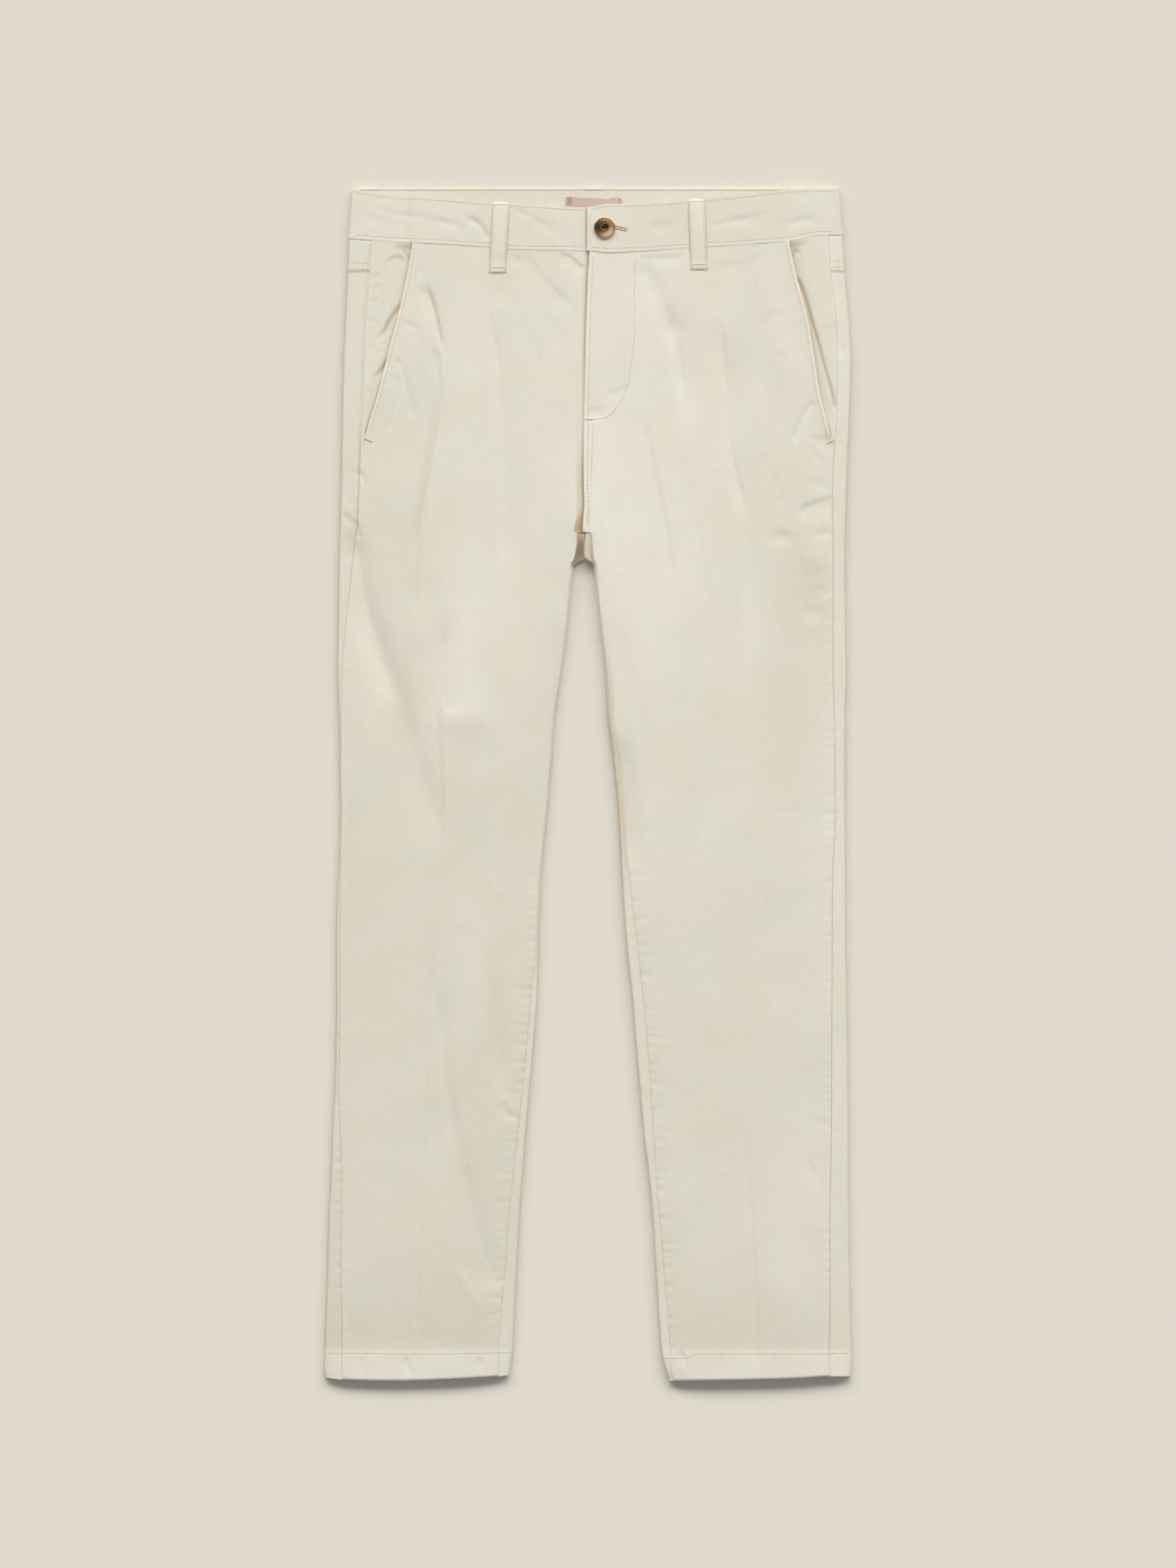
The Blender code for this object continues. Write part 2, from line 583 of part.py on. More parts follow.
# ---------------------------------------------------------------- belt loops
def front_loop(name, leg, x_top, x_bottom, right):
    """Strip over the band, sewn at its top edge and below the waist seam."""
    y_top = curve(FRONT_EDGE, x_top) + 0.6
    y_bottom = y_top - LOOP_LONG
    out, ins = [], []
    for step in (0.0, 0.04, 0.2, 0.4, 0.55, 0.66, 0.74, 0.84, 0.93, 1.0):
        y = y_top + (y_bottom - y_top) * step
        line_out, line_in = [], []
        for across in (-0.5, -0.17, 0.17, 0.5):
            x = x_top + (x_bottom - x_top) * step + across * LOOP_WIDE
            band_top = band_under(x, right) + BAND
            row = leg.rows[2]
            panel_top = leg.front_under(row, x, min(y, 440.0), False) + CLOTH
            on_panel = smooth((curve(WAIST_SEAM, x) - 1.0 - y) / 11.0)
            rest = band_top * (1 - on_panel) + max(panel_top, 0.0) * on_panel
            bulge = 1.1 * math.sin(math.pi * min(1.0, step / 0.8)) ** 2 if step < 0.8 else 0.0
            base = rest + 0.45 + bulge
            line_out.append((x, y, base + LOOP_THICK))
            line_in.append((x, y, base))
        out.append(line_out)
        ins.append(line_in)
    return wall_solid(name, out, ins, None, "loop", True)


def back_loop(name, x):
    out, ins = [], []
    for y in (BACK_EDGE_Y - 0.4, BACK_EDGE_Y - 0.4 - 0.5 * LOOP_LONG, BACK_EDGE_Y - 0.4 - LOOP_LONG):
        out.append([(x + across * LOOP_WIDE, y, LOOP_THICK) for across in (-0.5, 0.5)])
        ins.append([(x + across * LOOP_WIDE, y, 0.0) for across in (-0.5, 0.5)])
    return wall_solid(name, out, ins, None, "loop", True)


# ---------------------------------------------------------- label and button
def label():
    out, ins = [], []
    for y in (LABEL["y1"], LABEL["y0"]):
        line_out, line_in = [], []
        for x in (LABEL["x0"], -11.2, -3.2, 11.8, 19.8, LABEL["x1"]):
            base = BAND + LAYER_GAP + back_lift(x, 470.0)
            tilt = -1.2 * (x - LABEL["x0"]) / (LABEL["x1"] - LABEL["x0"])
            line_out.append((x, y + tilt, base + LABEL["thick"]))
            line_in.append((x, y + tilt, base))
        out.append(line_out)
        ins.append(line_in)
    return wall_solid("label", out, ins, None, "satin", True)


def button():
    """Turned disc with a raised rim and a dished middle."""
    base = band_under(BUTTON["x"], True) + BAND + LAYER_GAP
    r, h = BUTTON["radius"], BUTTON["height"]
    profile = [(0.0, 0.0), (0.80 * r, 0.0), (0.96 * r, 0.25 * h), (r, 0.55 * h), (0.95 * r, 0.86 * h), (0.84 * r, h),
               (0.74 * r, 0.92 * h), (0.64 * r, 0.68 * h), (0.30 * r, 0.62 * h), (0.16 * r, 0.46 * h), (0.0, 0.40 * h)]
    sides = 28
    mesh = bmesh.new()
    rings = []
    for radius, height in profile:
        if radius == 0.0:
            rings.append([mesh.verts.new((BUTTON["x"] * MM, BUTTON["y"] * MM, (base + height) * MM))])
            continue
        rings.append([mesh.verts.new(((BUTTON["x"] + radius * math.cos(2 * math.pi * k / sides)) * MM,
                                      (BUTTON["y"] + radius * math.sin(2 * math.pi * k / sides)) * MM,
                                      (base + height) * MM)) for k in range(sides)])
    for low, high in zip(rings, rings[1:]):
        for k in range(sides):
            n = (k + 1) % sides
            if len(low) == 1:
                mesh.faces.new([low[0], high[n], high[k]])
            elif len(high) == 1:
                mesh.faces.new([low[k], low[n], high[0]])
            else:
                mesh.faces.new([low[k], low[n], high[n], high[k]])
    return finish("button", mesh, "rose_metal")


def main():
    for thing in list(bpy.data.objects):
        bpy.data.objects.remove(thing, do_unlink=True)
    front_panel("front_left", LEFT)
    front_panel("front_right", RIGHT)
    back_panel("back_left", LEFT)
    back_panel("back_right", RIGHT)
    yoke("yoke_left", LEFT, [-187.0, -171.5, -164.0, -115.0, -60.0, -11.2, -3.4])
    yoke("yoke_right", RIGHT, [188.5, 180.6, 165.4, 157.5, 110.0, 60.0, 19.8, 11.8, 4.0])
    waistband()
    fly_shield()
    pocket_facing("pocket_facing_left", LEFT)
    pocket_facing("pocket_facing_right", RIGHT)
    front_loop("belt_loop_front_left", LEFT, -71.2, -74.3, False)
    front_loop("belt_loop_front_right", RIGHT, 88.9, 91.0, True)
    back_loop("belt_loop_back_left", BACK_LOOP_X[0])
    back_loop("belt_loop_back_centre", BACK_LOOP_X[1])
    back_loop("belt_loop_back_right", BACK_LOOP_X[2])
    label()
    button()


main()
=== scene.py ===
"""The looks of the cigarette trousers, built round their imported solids.

Everything is in the frame of the solids: the garment lies on Z = 0 with its
waist towards +Y. Tables are in millimetres, seen from above.
"""
import math

import bpy
import numpy as np
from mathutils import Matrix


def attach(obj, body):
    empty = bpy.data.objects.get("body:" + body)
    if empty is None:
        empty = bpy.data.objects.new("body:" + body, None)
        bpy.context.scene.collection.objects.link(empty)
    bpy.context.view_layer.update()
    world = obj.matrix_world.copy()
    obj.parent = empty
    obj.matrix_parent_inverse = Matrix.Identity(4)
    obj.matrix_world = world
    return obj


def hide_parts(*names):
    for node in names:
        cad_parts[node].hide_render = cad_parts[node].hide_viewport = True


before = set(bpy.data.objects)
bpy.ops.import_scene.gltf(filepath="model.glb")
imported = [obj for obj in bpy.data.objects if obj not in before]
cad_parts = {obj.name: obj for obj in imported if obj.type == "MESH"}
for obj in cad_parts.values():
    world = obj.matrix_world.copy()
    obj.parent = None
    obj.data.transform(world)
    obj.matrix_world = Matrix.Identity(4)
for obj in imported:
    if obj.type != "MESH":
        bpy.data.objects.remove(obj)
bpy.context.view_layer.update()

MM = 0.001

# ------------------------------------------------------------- sizes, as in the solids
BACK_LOOP_X = (-179.5, 4.3, 173.0)
LOOP_WIDE, LOOP_LONG = 14.0, 56.5
SEAT_X = -2.3
CROTCH_Y, CROTCH_ROW = 206.2, 13
PANEL_LEVEL_Y, WAIST_Y = 419.7, 447.6
YOKE_SIDE_Y, YOKE_SEAT_Y = 419.7, 396.0
BACK_EDGE_Y = 488.9
HEM_LEVEL_Y, HEM_Y = -466.2, -487.6
POCKET_END_Y = 283.5
SHIELD_X, SHIELD_END_Y = 37.5, 300.0
BUTTON = dict(x=13.6, y=455.8, radius=8.75, height=2.5)
LABEL = dict(x0=-17.9, x1=27.9, y0=469.5, y1=481.8)

# y | outer fold | side seam | inner edge | inner seam
LEFT_LEG = (
    (447.6, -196.4, -177.0, 1.0, 1.0), (431.5, -197.1, -178.0, 0.6, 0.6), (419.7, -197.6, -178.8, -0.2, -0.2),
    (396.8, -198.4, -180.9, -1.0, -1.0), (372.0, -199.7, -182.4, -1.9, -1.9), (347.5, -200.7, -183.4, -2.5, -2.5),
    (322.0, -201.5, -184.0, -3.1, -3.1), (303.2, -201.9, -184.5, -3.6, -3.6), (282.5, -202.2, -186.3, -3.8, -3.8),
    (275.0, -202.3, -186.7, -3.8, -3.8), (252.4, -202.5, -187.5, -3.8, -3.8), (230.0, -203.3, -188.3, -3.2, -3.2),
    (214.5, -203.8, -189.0, -4.2, -4.2), (207.2, -204.0, -189.9, -4.5, -4.5), (205.2, -204.0, -190.1, -2.6, -8.6),
    (196.0, -204.2, -191.4, -2.8, -9.3), (184.6, -204.4, -192.7, -3.0, -11.6), (180.0, -204.5, -193.2, -11.4, -14.0),
    (171.6, -204.7, -194.1, -12.9, -14.6), (125.1, -205.2, -199.3, -17.5, -19.0), (90.0, -205.5, -201.8, -22.0, -23.4),
    (56.5, -204.5, -202.3, -27.0, -28.4), (20.0, -203.9, -202.5, -29.8, -31.2), (-23.6, -203.5, -202.1, -33.5, -34.9),
    (-75.1, -204.9, -203.1, -38.3, -39.8), (-128.7, -206.6, -203.4, -40.4, -42.2), (-172.3, -206.5, -203.4, -41.5, -46.5),
    (-215.9, -206.9, -203.8, -44.7, -50.4), (-245.2, -207.8, -204.5, -47.3, -53.1), (-288.9, -210.0, -203.1, -50.9, -57.9),
    (-325.3, -211.3, -202.0, -53.8, -61.8), (-357.5, -212.9, -202.3, -56.1, -65.1), (-392.0, -213.7, -202.6, -58.0, -67.6),
    (-429.0, -214.9, -202.0, -59.8, -70.8), (-466.2, -216.3, -201.6, -61.8, -73.3), (-480.5, -216.3, -201.5, -63.6, -73.4),
    (-487.6, -215.4, -201.3, -65.2, -73.6))
RIGHT_LEG = (
    (447.6, 209.1, 197.3, 1.0, 1.0), (431.5, 210.0, 198.0, 0.6, 0.6), (419.7, 210.7, 198.8, -0.2, -0.2),
    (396.8, 212.7, 202.3, -1.0, -1.0), (372.0, 215.0, 203.9, -1.9, -1.9), (347.5, 215.9, 204.5, -2.5, -2.5),
    (322.0, 215.2, 204.2, -3.1, -3.1), (303.2, 214.4, 203.8, -3.6, -3.6), (282.5, 213.9, 202.5, -3.8, -3.8),
    (275.0, 213.5, 202.0, -3.8, -3.8), (252.4, 212.5, 200.6, -3.8, -3.8), (230.0, 211.9, 200.4, -3.2, -3.2),
    (214.5, 211.6, 200.6, -4.2, -4.2), (207.2, 211.5, 200.7, -4.5, -4.5), (205.2, 211.4, 200.7, -2.0, 2.2),
    (196.0, 211.3, 200.8, -2.9, 2.9), (184.6, 211.2, 200.9, -3.1, 4.0), (180.0, 211.1, 200.9, 3.6, 6.2),
    (171.6, 210.9, 200.9, 5.4, 7.0), (125.1, 211.6, 200.9, 10.7, 12.4), (90.0, 212.0, 201.0, 14.1, 15.8),
    (56.5, 211.1, 202.0, 16.1, 18.0), (20.0, 211.1, 202.3, 20.4, 22.4), (-23.6, 211.1, 202.7, 24.7, 27.0),
    (-75.1, 211.3, 200.6, 27.5, 33.6), (-128.7, 211.6, 200.1, 31.3, 40.0), (-172.3, 212.4, 200.0, 35.6, 45.0),
    (-215.9, 213.0, 199.8, 39.3, 49.1), (-245.2, 213.3, 199.7, 41.8, 51.1), (-288.9, 213.8, 199.5, 45.8, 54.0),
    (-325.3, 213.9, 198.8, 50.0, 56.1), (-357.5, 214.1, 198.2, 52.9, 59.0), (-392.0, 214.8, 198.3, 54.9, 61.9),
    (-429.0, 215.6, 198.3, 57.2, 64.7), (-466.2, 216.4, 197.6, 60.1, 67.6), (-480.5, 215.8, 197.7, 63.3, 67.9),
    (-487.6, 215.2, 198.1, 66.4, 69.6))
WAIST_SEAM = ((-196.4, -176.6, -145.1, -80.8, -65.0, -1.0, 17.2, 38.6, 82.2, 164.5, 189.5, 209.0),
              (447.6, 445.8, 443.9, 440.2, 438.3, 437.1, 435.5, 436.4, 439.4, 444.9, 449.7, 450.5))
FRONT_EDGE = ((-193.4, -179.5, -157.3, -139.4, -108.7, -79.4, -45.8, -1.0, 15.7, 42.2, 82.2, 128.7, 175.2, 205.0),
              (487.6, 485.1, 481.9, 481.2, 479.0, 476.9, 474.8, 472.5, 475.1, 475.8, 478.3, 482.9, 487.6, 488.3))
BACK_WAIST_SEAM = ((-194.3, -164.0, -115.0, -60.0, 110.0, 165.4, 206.9),
                   (447.4, 449.2, 450.6, 451.2, 451.2, 450.9, 450.2))
HEM_LEFT = ((-215.2, -201.3, -157.3, -114.4, -82.2, -65.2), (-486.6, -487.9, -488.7, -487.4, -485.7, -484.8))
HEM_RIGHT = ((69.4, 98.0, 138.0, 171.6, 199.3, 214.5), (-489.0, -488.3, -487.6, -486.6, -485.1, -485.5))
MOUTH_LEFT = ((441.0, 416.1, 386.1, 352.5, 317.5, 301.0, 286.7),
              (-144.4, -148.7, -155.4, -164.1, -173.0, -178.4, -182.3))
MOUTH_RIGHT = ((443.6, 420.7, 396.8, 376.4, 347.9, 319.4, 296.7, 281.7),
               (165.2, 169.7, 175.9, 181.1, 185.6, 190.2, 195.9, 199.5))

# Soft folds and creases. name | height | width to the left or below |
# width to the right or above | fade at the start and at the end | power | points
FOLDS = (
    ("facing_fold_a", -0.25, 2.0, 1.5, 9.9, 5.9, 2.0,
     ((-168.7, 424.9), (-162.2, 430.2), (-155.6, 432.0), (-148.9, 428.1))),
    ("facing_fold_b", -0.6, 1.5, 3.0, 9.8, 16.5, 2.0,
     ((-151.6, 395.8), (-155.2, 390.8), (-159.4, 385.2), (-163.7, 378.1), (-167.5, 370.7), (-176.3, 364.0))),
    ("facing_fold_c", -0.6, 1.5, 2.8, 9.8, 15.6, 2.0,
     ((-162.2, 352.4), (-165.8, 345.2), (-171.0, 337.8), (-179.0, 329.8))),
    ("facing_fold_d", -0.21, 4.3, 1.3, 4.6, 3.0, 2.0,
     ((-181.6, 405.1), (-174.7, 407.2), (-167.7, 407.8))),
    ("facing_fold_e", -0.09, 3.5, 1.3, 3.0, 3.0, 2.0,
     ((-180.9, 354.6), (-173.7, 353.9), (-168.0, 356.1))),
    ("hip_soft_left", -0.3, 12.0, 7.0, 10.0, 10.0, 2.0,
     ((-140.9, 425.4), (-135.1, 414.7), (-129.4, 401.8), (-125.1, 391.8), (-122.3, 378.9))),
    ("hip_a_left", -1.25, 6.5, 1.6, 16.2, 27.5, 2.0,
     ((-134.6, 412.6), (-129.6, 401.9), (-126.1, 391.3), (-122.5, 377.2), (-119.7, 360.8), (-117.5, 347.2))),
    ("hip_b_left", -0.99, 5.0, 1.5, 12.9, 40.0, 2.0,
     ((-123.7, 360.4), (-122.3, 343.2), (-121.5, 325.3), (-123.0, 307.4), (-125.1, 286.0), (-128.7, 264.6),
     (-133.0, 243.1), (-136.6, 221.6), (-140.1, 200.2), (-141.6, 178.8))),
    ("hip_c_left", -1.3, 4.0, 9.0, 50.0, 50.0, 2.0,
     ((-122.3, 336.1), (-123.7, 300.3), (-128.0, 264.6), (-133.7, 228.8), (-138.0, 193.0), (-139.4, 150.2),
     (-138.0, 114.4))),
    ("hip_lit_left", 0.2, 4.0, 2.2, 8.0, 8.0, 2.0,
     ((-143.0, 423.3), (-137.3, 413.3), (-132.3, 401.8))),
    ("hook_a_left", -0.22, 6.3, 1.6, 3.0, 5.0, 2.0,
     ((-151.9, 377.8), (-145.9, 377.2), (-140.2, 374.0), (-134.0, 368.4))),
    ("hook_b_left", -0.38, 4.7, 1.7, 4.9, 10.0, 2.0,
     ((-160.5, 347.8), (-155.2, 346.3), (-151.9, 340.5), (-148.4, 328.0), (-144.9, 313.9), (-142.1, 298.2))),
    ("hook_c_left", -0.37, 3.0, 1.8, 6.0, 8.1, 2.0,
     ((-162.3, 334.6), (-156.6, 331.8), (-156.6, 314.6), (-160.2, 300.3), (-163.7, 286.0))),
    ("broad_left", -1.2, 5.0, 11.0, 40.0, 60.0, 2.0,
     ((-76.5, 393.2), (-73.6, 357.5), (-71.5, 321.8), (-70.1, 286.0), (-69.4, 243.1), (-68.6, 200.2),
     (-65.1, 157.3))),
    ("broad_line_left", -0.4, 3.0, 1.6, 30.0, 30.0, 2.0,
     ((-82.2, 396.8), (-77.9, 371.8), (-73.6, 343.2), (-70.8, 314.6), (-70.1, 286.0), (-70.1, 243.1))),
    ("fine_line_left", -0.09, 1.4, 5.0, 12.0, 20.0, 2.0,
     ((-85.1, 257.4), (-88.7, 235.9), (-90.8, 200.2), (-92.2, 178.8))),
    ("diagonal_a_left", -0.36, 11.6, 3.0, 8.0, 10.0, 2.0,
     ((-57.6, 436.2), (-47.8, 428.6), (-36.4, 413.6), (-24.8, 400.6), (-14.0, 390.5))),
    ("diagonal_b_left", -0.24, 4.9, 2.5, 6.0, 8.0, 2.0,
     ((-65.1, 433.8), (-58.3, 430.4), (-51.5, 424.9))),
    ("diagonal_c_left", -0.2, 13.0, 4.0, 14.0, 24.0, 2.0,
     ((-72.2, 413.3), (-64.3, 396.8), (-53.6, 375.4), (-44.3, 356.1), (-34.3, 334.6), (-22.9, 311.0))),
    ("diagonal_d_left", -0.09, 7.0, 4.0, 12.0, 18.0, 2.0,
     ((-45.0, 396.8), (-32.2, 377.5), (-16.4, 356.1))),
    ("fly_side_left", -0.53, 7.8, 1.5, 4.0, 2.0, 2.0,
     ((-25.0, 433.3), (-17.9, 432.6), (-11.4, 429.0), (-7.9, 424.7), (-2.1, 423.3))),
    ("seam_kink_left", -0.45, 2.0, 1.2, 2.0, 3.0, 2.0,
     ((-187.3, 256.0), (-184.2, 251.2), (-182.7, 243.6))),
    ("seam_kink_b_left", -0.2, 2.0, 1.2, 3.3, 5.1, 2.0,
     ((-197.3, 233.1), (-193.0, 230.9), (-188.8, 232.4))),
    ("thigh_start_left", -0.7, 5.0, 1.4, 2.0, 1.0, 2.0,
     ((-205.2, 227.4), (-200.9, 221.6), (-194.5, 216.6), (-189.5, 213.1), (-187.3, 201.6))),
    ("thigh_a_left", -2.3, 12.0, 8.0, 29.9, 50.6, 1.5,
     ((-192.9, 216.9), (-190.8, 199.7), (-187.8, 181.8), (-184.3, 159.5), (-180.0, 138.6), (-174.2, 117.0),
     (-167.0, 95.5), (-160.6, 74.2), (-154.9, 49.3))),
    ("thigh_b_left", -1.5, 18.0, 10.0, 80.0, 60.0, 2.0,
     ((-183.8, 178.8), (-178.0, 146.6), (-170.2, 118.0), (-160.9, 85.8), (-153.0, 57.2), (-144.4, 28.6),
     (-135.1, -3.6), (-127.3, -32.2), (-120.8, -60.8))),
    ("thigh_c_left", -0.21, 7.0, 9.0, 30.0, 60.0, 2.0,
     ((-142.3, 128.7), (-138.0, 93.0), (-133.0, 57.2), (-128.0, 21.4), (-123.0, -14.3))),
    ("pressed_a_left", -0.67, 5.0, 1.8, 24.0, 50.0, 2.0,
     ((-113.7, 134.4), (-116.5, 118.0), (-118.7, 100.1), (-120.8, 82.2), (-121.9, 57.2), (-121.2, 28.6),
     (-120.1, 0.0), (-120.1, -35.8), (-121.5, -71.5))),
    ("pressed_b_left", -0.5, 4.0, 1.3, 40.0, 20.0, 2.0,
     ((-125.1, -114.4), (-127.3, -150.2), (-129.4, -185.9), (-131.2, -215.9), (-132.3, -246.7),
     (-133.3, -274.6), (-135.1, -333.2), (-138.0, -396.8), (-140.1, -455.5))),
    ("knee_streak_a_left", 0.15, 6.0, 1.6, 10.0, 8.0, 2.0,
     ((-82.2, -71.5), (-77.2, -82.2), (-71.5, -97.2))),
    ("knee_streak_b_left", 0.12, 4.0, 1.4, 8.0, 8.0, 2.0,
     ((-109.4, -116.5), (-101.5, -112.3), (-93.0, -107.2))),
    ("calf_arch_left", -0.12, 8.7, 5.0, 12.0, 14.0, 2.0,
     ((-103.7, -118.7), (-94.4, -125.8), (-86.5, -134.4), (-80.8, -144.4), (-77.2, -157.3))),
    ("calf_a_left", -0.8, 9.0, 6.0, 60.0, 40.0, 2.0,
     ((-92.3, -131.7), (-85.2, -143.7), (-81.0, -156.3), (-78.2, -171.8), (-76.1, -193.2), (-73.9, -218.2),
     (-71.1, -243.3), (-67.5, -264.8))),
    ("calf_b_left", -0.88, 5.0, 6.0, 50.0, 40.0, 2.0,
     ((-123.0, -157.3), (-120.8, -185.9), (-118.7, -214.5), (-116.5, -243.1), (-113.7, -264.6),
     (-110.8, -286.0), (-105.8, -307.4))),
    ("calf_c_left", -0.85, 17.4, 8.0, 40.0, 20.7, 2.0,
     ((-115.1, -250.2), (-112.3, -278.8), (-105.8, -308.9), (-99.4, -328.9), (-93.0, -356.1),
     (-87.9, -376.8), (-80.8, -396.8), (-75.1, -409.0), (-71.5, -418.3))),
    ("calf_c_deep_left", -0.08, 3.8, 1.8, 40.0, 12.0, 2.0,
     ((-111.5, -286.0), (-105.8, -308.9), (-99.4, -328.9), (-93.0, -356.1), (-87.9, -376.8),
     (-80.8, -396.8), (-75.1, -407.5))),
    ("lit_low_left", 0.22, 5.0, 2.6, 16.0, 14.0, 2.0,
     ((-112.3, -390.4), (-103.7, -403.3), (-93.7, -419.7), (-84.4, -439.0))),
    ("lit_mid_left", 0.14, 5.0, 2.6, 6.0, 8.0, 2.0,
     ((-123.7, -339.6), (-118.0, -351.8), (-112.3, -364.6))),
    ("side_box_left", -0.34, 5.5, 1.2, 4.4, 7.5, 2.0,
     ((-69.6, -259.8), (-66.1, -267.8), (-57.3, -271.3))),
    ("above_hem_left", -0.06, 7.2, 3.0, 14.0, 14.0, 2.0,
     ((-196.6, -452.6), (-175.2, -449.0), (-157.3, -454.7), (-132.3, -450.4), (-103.7, -456.2))),
    ("under_band_right", -0.3, 6.0, 1.4, 6.6, 10.0, 2.0,
     ((40.0, 431.2), (53.6, 431.2), (68.0, 431.6), (80.9, 432.6))),
    ("fly_fold_right", -0.62, 9.0, 6.0, 12.3, 24.0, 2.0,
     ((42.3, 429.2), (48.5, 420.1), (54.8, 408.9), (59.7, 397.8), (63.9, 385.1), (68.1, 371.0),
     (71.7, 353.3))),
    ("fly_broad_right", -1.5, 6.0, 15.9, 30.0, 60.0, 2.0,
     ((65.1, 396.8), (70.1, 375.4), (74.4, 350.3), (77.2, 328.9), (79.4, 307.4), (82.2, 278.8))),
    ("fly_line_right", -0.54, 3.0, 1.5, 14.0, 20.0, 2.0,
     ((73.6, 368.2), (75.8, 350.3), (77.2, 328.9), (77.9, 307.4))),
    ("hip_line_right", -0.75, 8.7, 1.8, 30.0, 30.0, 2.0,
     ((108.4, 384.5), (111.3, 357.4), (112.7, 328.8), (113.4, 307.4), (114.8, 285.8), (118.5, 267.8),
     (122.8, 249.8), (127.7, 230.6), (129.8, 214.3))),
    ("hip_broad_right", -1.45, 5.0, 17.4, 40.0, 90.0, 2.0,
     ((112.3, 371.8), (115.1, 328.9), (118.7, 286.0), (125.1, 243.1), (129.4, 200.2), (131.6, 150.2),
     (133.7, 85.8))),
    ("hip_side_right", -0.23, 8.7, 3.0, 10.0, 14.0, 2.0,
     ((142.3, 274.6), (149.4, 255.3), (155.9, 241.7), (164.4, 221.6))),
    ("soft_top_right", -0.22, 11.0, 2.0, 10.0, 12.0, 2.0,
     ((100.1, 426.9), (112.3, 425.4), (125.1, 426.9), (138.0, 430.4), (149.4, 434.7))),
    ("mouth_top_right", -0.4, 3.0, 1.2, 5.7, 3.6, 2.0,
     ((165.9, 434.7), (170.9, 436.1), (175.9, 434.7))),
    ("facing_line_right", -0.07, 3.0, 1.4, 4.0, 4.0, 2.0,
     ((178.8, 436.1), (184.5, 425.4), (196.6, 411.1))),
    ("facing_deep_right", -0.8, 1.2, 1.3, 5.0, 6.0, 2.0,
     ((170.9, 416.1), (175.2, 406.8), (179.5, 394.0), (183.0, 380.4), (186.6, 368.9), (190.2, 356.1),
     (193.8, 341.8), (197.3, 330.3), (200.9, 317.5), (203.1, 304.6))),
    ("strip_line_right", -0.32, 6.3, 1.3, 4.2, 7.0, 2.0,
     ((200.9, 378.9), (205.9, 366.1), (211.6, 350.3))),
    ("pucker_a_right", -0.25, 1.5, 1.2, 3.2, 5.5, 2.0,
     ((202.0, 342.8), (207.0, 342.1), (212.0, 341.3))),
    ("pucker_b_right", -0.25, 1.5, 1.2, 2.1, 3.3, 2.0,
     ((202.1, 304.9), (204.9, 305.6), (207.9, 304.4))),
    ("pucker_c_right", -0.25, 1.5, 1.2, 5.5, 3.2, 2.0,
     ((201.4, 278.6), (206.6, 277.8), (211.9, 278.6))),
    ("fly_bottom_a_right", -0.35, 6.2, 1.3, 7.7, 4.5, 2.0,
     ((13.7, 320.0), (22.0, 320.8), (28.1, 324.6), (32.4, 327.5))),
    ("fly_bottom_b_right", -0.22, 4.4, 1.3, 4.8, 2.9, 2.0,
     ((1.4, 307.0), (8.3, 307.0), (15.7, 309.3))),
    ("fly_bottom_c_right", -0.3, 5.0, 1.3, 3.9, 6.6, 2.0,
     ((0.1, 307.3), (5.9, 305.2), (11.6, 302.9), (15.9, 301.5))),
    ("hip_hook_a_right", -0.15, 5.8, 1.6, 4.0, 5.0, 2.0,
     ((140.1, 374.7), (146.6, 381.8), (157.3, 386.1), (170.2, 388.2))),
    ("hip_soft_side_right", -0.17, 7.2, 3.0, 5.0, 8.0, 2.0,
     ((152.3, 348.9), (164.4, 353.2), (178.0, 358.9))),
    ("hip_hook_b_right", -0.5, 1.3, 4.5, 6.5, 11.0, 2.0,
     ((188.0, 307.7), (184.3, 311.3), (181.6, 310.5), (176.7, 303.6), (171.2, 291.8), (166.2, 279.1))),
    ("hip_hook_c_right", -0.21, 6.2, 1.2, 3.0, 4.6, 2.0,
     ((180.1, 284.9), (188.6, 282.8), (195.8, 281.4), (199.9, 283.4))),
    ("hip_hook_d_right", -0.19, 4.4, 1.3, 2.5, 4.2, 2.0,
     ((181.6, 278.1), (186.6, 270.3), (193.8, 263.8))),
    ("hip_hook_e_right", -0.21, 5.6, 1.2, 3.0, 4.6, 2.0,
     ((182.6, 250.1), (191.0, 245.9), (198.8, 241.0))),
    ("hip_wrinkle_a_right", -0.63, 12.1, 1.5, 13.9, 8.2, 2.0,
     ((169.5, 215.1), (174.4, 223.4), (179.5, 228.0), (188.6, 230.7), (196.6, 233.7), (201.8, 236.6))),
    ("hip_wrinkle_b_right", -0.34, 5.7, 2.6, 7.5, 4.4, 2.0,
     ((183.8, 200.9), (190.9, 205.2), (200.9, 208.8))),
    ("hip_wrinkle_c_right", -0.1, 3.4, 1.3, 5.0, 2.0, 2.0,
     ((185.2, 170.9), (193.0, 174.5), (200.9, 180.2))),
    ("hip_wrinkle_d_right", -0.28, 7.8, 2.4, 6.2, 3.6, 2.0,
     ((183.3, 146.5), (186.0, 155.3), (189.8, 159.7), (200.1, 156.3))),
    ("hip_trough_right", -0.24, 11.6, 4.5, 10.0, 18.0, 2.0,
     ((150.9, 205.2), (159.4, 205.2), (165.9, 198.8), (171.6, 185.2), (175.9, 170.2), (180.2, 153.7),
     (183.8, 137.3))),
    ("thigh_a_right", -0.5, 9.0, 2.0, 24.0, 40.0, 2.0,
     ((46.9, 307.2), (49.8, 282.1), (55.5, 249.9), (61.9, 221.3), (65.5, 199.9), (69.1, 174.9),
     (73.4, 149.9))),
